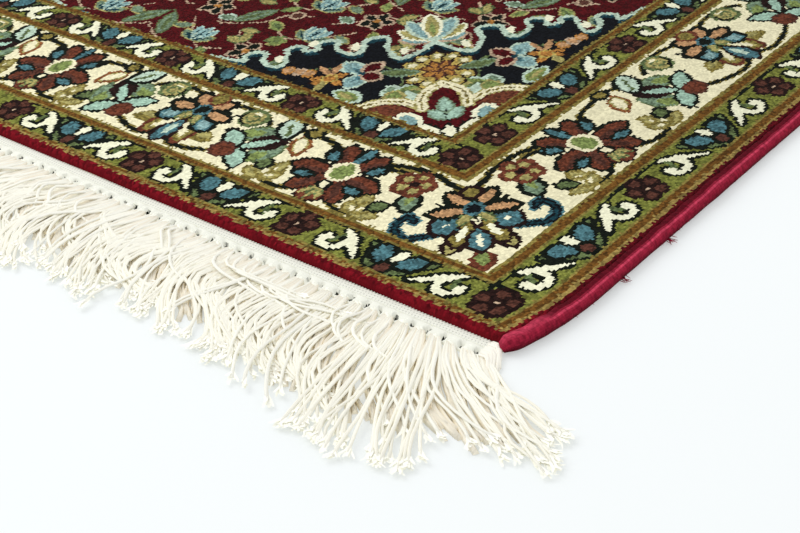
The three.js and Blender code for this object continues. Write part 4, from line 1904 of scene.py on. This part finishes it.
@dataclass(frozen=True)
class Studio:
    """The pale floor, the soft light and the camera."""

    camera_place: tuple[float, float, float] = (689.8, -1058.3, 422.5)
    yaw: float = 39.18
    pitch: float = 33.31
    roll: float = -2.17
    lens: float = 73.59
    floor_colour: Colour = (186, 189, 190)
    floor_glow: float = 0.4
    glow_colour: tuple[float, float, float] = (0.97, 1.0, 0.98)
    floor_half: float = 4.0
    floor_drop: float = 0.0002
    sky_colour: tuple[float, float, float] = (0.975, 0.985, 1.0)
    sky_strength: float = 0.92
    softbox_place: tuple[float, float, float] = (-1.1, -0.75, 1.7)
    softbox_aim: tuple[float, float, float] = (0.25, -0.5, 0.0)
    softbox_power: float = 19.0
    softbox_size: float = 1.6

    def camera(self) -> None:
        """Set up the camera at the photograph's viewing angle."""
        yaw, pitch, roll = (math.radians(a) for a in (self.yaw, self.pitch, self.roll))
        right = Vector((math.cos(yaw), math.sin(yaw), 0.0))
        ahead = Vector((-math.sin(yaw) * math.cos(pitch), math.cos(yaw) * math.cos(pitch), -math.sin(pitch)))
        down = ahead.cross(right)
        across = right * math.cos(roll) - down * math.sin(roll)
        up = -(right * math.sin(roll) + down * math.cos(roll))
        data = bpy.data.cameras.new("camera")
        data.lens = self.lens
        data.sensor_width = 36.0
        data.sensor_fit = "HORIZONTAL"
        data.clip_start = 0.01
        eye = bpy.data.objects.new("camera", data)
        facing = Matrix((across, up, -ahead)).transposed().to_4x4()
        eye.matrix_world = Matrix.Translation(Vector(self.camera_place) * MM) @ facing
        bpy.context.scene.collection.objects.link(eye)
        bpy.context.scene.camera = eye

    def floor(self) -> None:
        """Lay the floor, lit through from below like a light table."""
        mesh = bpy.data.meshes.new("floor")
        half = self.floor_half
        corners = [(-half, -half, 0), (half, -half, 0), (half, half, 0), (-half, half, 0)]
        mesh.from_pydata(corners, [], [(0, 1, 2, 3)])
        material = bpy.data.materials.new("pale_floor")
        material.use_nodes = True
        surface = material.node_tree.nodes["Principled BSDF"]
        surface.inputs["Base Color"].default_value = (*linear(self.floor_colour), 1.0)
        surface.inputs["Roughness"].default_value = 0.9
        surface.inputs["Specular IOR Level"].default_value = 0.1
        surface.inputs["Emission Color"].default_value = (*self.glow_colour, 1.0)
        surface.inputs["Emission Strength"].default_value = self.floor_glow
        mesh.materials.append(material)
        floor = bpy.data.objects.new("floor", mesh)
        floor.location.z = -self.floor_drop
        bpy.context.scene.collection.objects.link(floor)

    def lights(self) -> None:
        """Set up an even white sky and one large soft light from the upper left."""
        scene = bpy.context.scene
        scene.view_settings.view_transform = "Standard"
        scene.cycles.diffuse_bounces = 10
        world = bpy.data.worlds.new("white_sky")
        world.use_nodes = True
        sky = world.node_tree.nodes["Background"]
        sky.inputs["Color"].default_value = (*self.sky_colour, 1.0)
        sky.inputs["Strength"].default_value = self.sky_strength
        scene.world = world
        data = bpy.data.lights.new("softbox", "AREA")
        data.energy = self.softbox_power
        data.size = self.softbox_size
        softbox = bpy.data.objects.new("softbox", data)
        softbox.location = self.softbox_place
        aim = Vector(self.softbox_aim) - softbox.location
        softbox.rotation_euler = aim.to_track_quat("-Z", "Y").to_euler()
        scene.collection.objects.link(softbox)


@dataclass
class KnottedBody:
    """The knotted body: its chart, the foundation and the pile in three lengths."""

    plan: RugPlan
    columns: int = 281
    rows: int = 390
    cream_corner: Point = (41.2, 37.5)
    lengths: tuple[str, ...] = ("near", "middle", "far")
    back_step: int = 4

    def chart(self) -> Array:
        """Paint the chart of the whole rug, row 0 at the near end."""
        pitch = self.plan.half_width / self.columns, self.plan.half_length / self.rows
        corner = self.cream_corner[0] / pitch[0], self.cream_corner[1] / pitch[1]
        quarter = Ornament(self.columns, self.rows, *corner)
        middle = self.columns - corner[0], self.rows - corner[1]
        border = BorderPainter(quarter, *middle)
        border.paint()
        FieldPainter(quarter, border.depth, middle).paint()
        return quarter.whole()

    def build(self, finish: PileFinish) -> tuple[bpy.types.Object, list[bpy.types.Object]]:
        """Build and dress the foundation and the pile.

        Args:
            finish: The pile's finish.

        Returns:
            The foundation and the lengths of pile.
        """
        chart = self.chart()
        cuts = np.linspace(0, len(chart), len(self.lengths) + 1).astype(int)
        pile = []
        for label, first, last in zip(self.lengths, cuts[:-1], cuts[1:]):
            slab = KnottedSlab(self.plan, chart, int(first), int(last))
            pile.append(slab.draft().make(f"silk_pile_{label}", finish.shared()))
        coarse = np.ascontiguousarray(chart[:: self.back_step, :: self.back_step])
        back = KnottedSlab(self.plan, coarse, 0, len(coarse), facing_down=True)
        foundation = back.draft().make("knotted_foundation", finish.shared())
        for piece in (foundation, *pile):
            dress(piece, "rug")
        return foundation, pile


def main() -> None:
    """Build the rug piece by piece."""
    logging.basicConfig(level=logging.INFO, format="%(message)s")
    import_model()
    plan = RugPlan.from_frame()
    studio = Studio()
    studio.camera()
    studio.floor()
    studio.lights()
    silk = PileFinish("silk_pile", roughness=0.85, fineness=900.0, depth=0.08, bump=0.4, gloss=0.05)
    wound = CordFinish("overcast_silk", roughness=0.7, fineness=450.0, depth=0.9, bump=1.0, gloss=0.02)
    cotton = CottonFinish("warp_cotton", roughness=0.9, fineness=1800.0, depth=0.03, bump=0.2, gloss=0.0)
    foundation, trims = KnottedBody(plan).build(silk)
    for side, turned, seed in (("right", False, 5), ("left", True, 6)):
        trims.append(SideCord(plan, f"overcast_cord_{side}", f"side_cord_{side}", turned, seed).build(wound))
    for end, turned, seed in (("near", False, 11), ("far", True, 12)):
        fringe = FringedEnd(plan, end, f"fringe_{end}", turned, seed)
        trims.append(fringe.build_strip(cotton))
        trims.append(fringe.build_yarns(cotton))


if __name__ == "__main__":
    main()
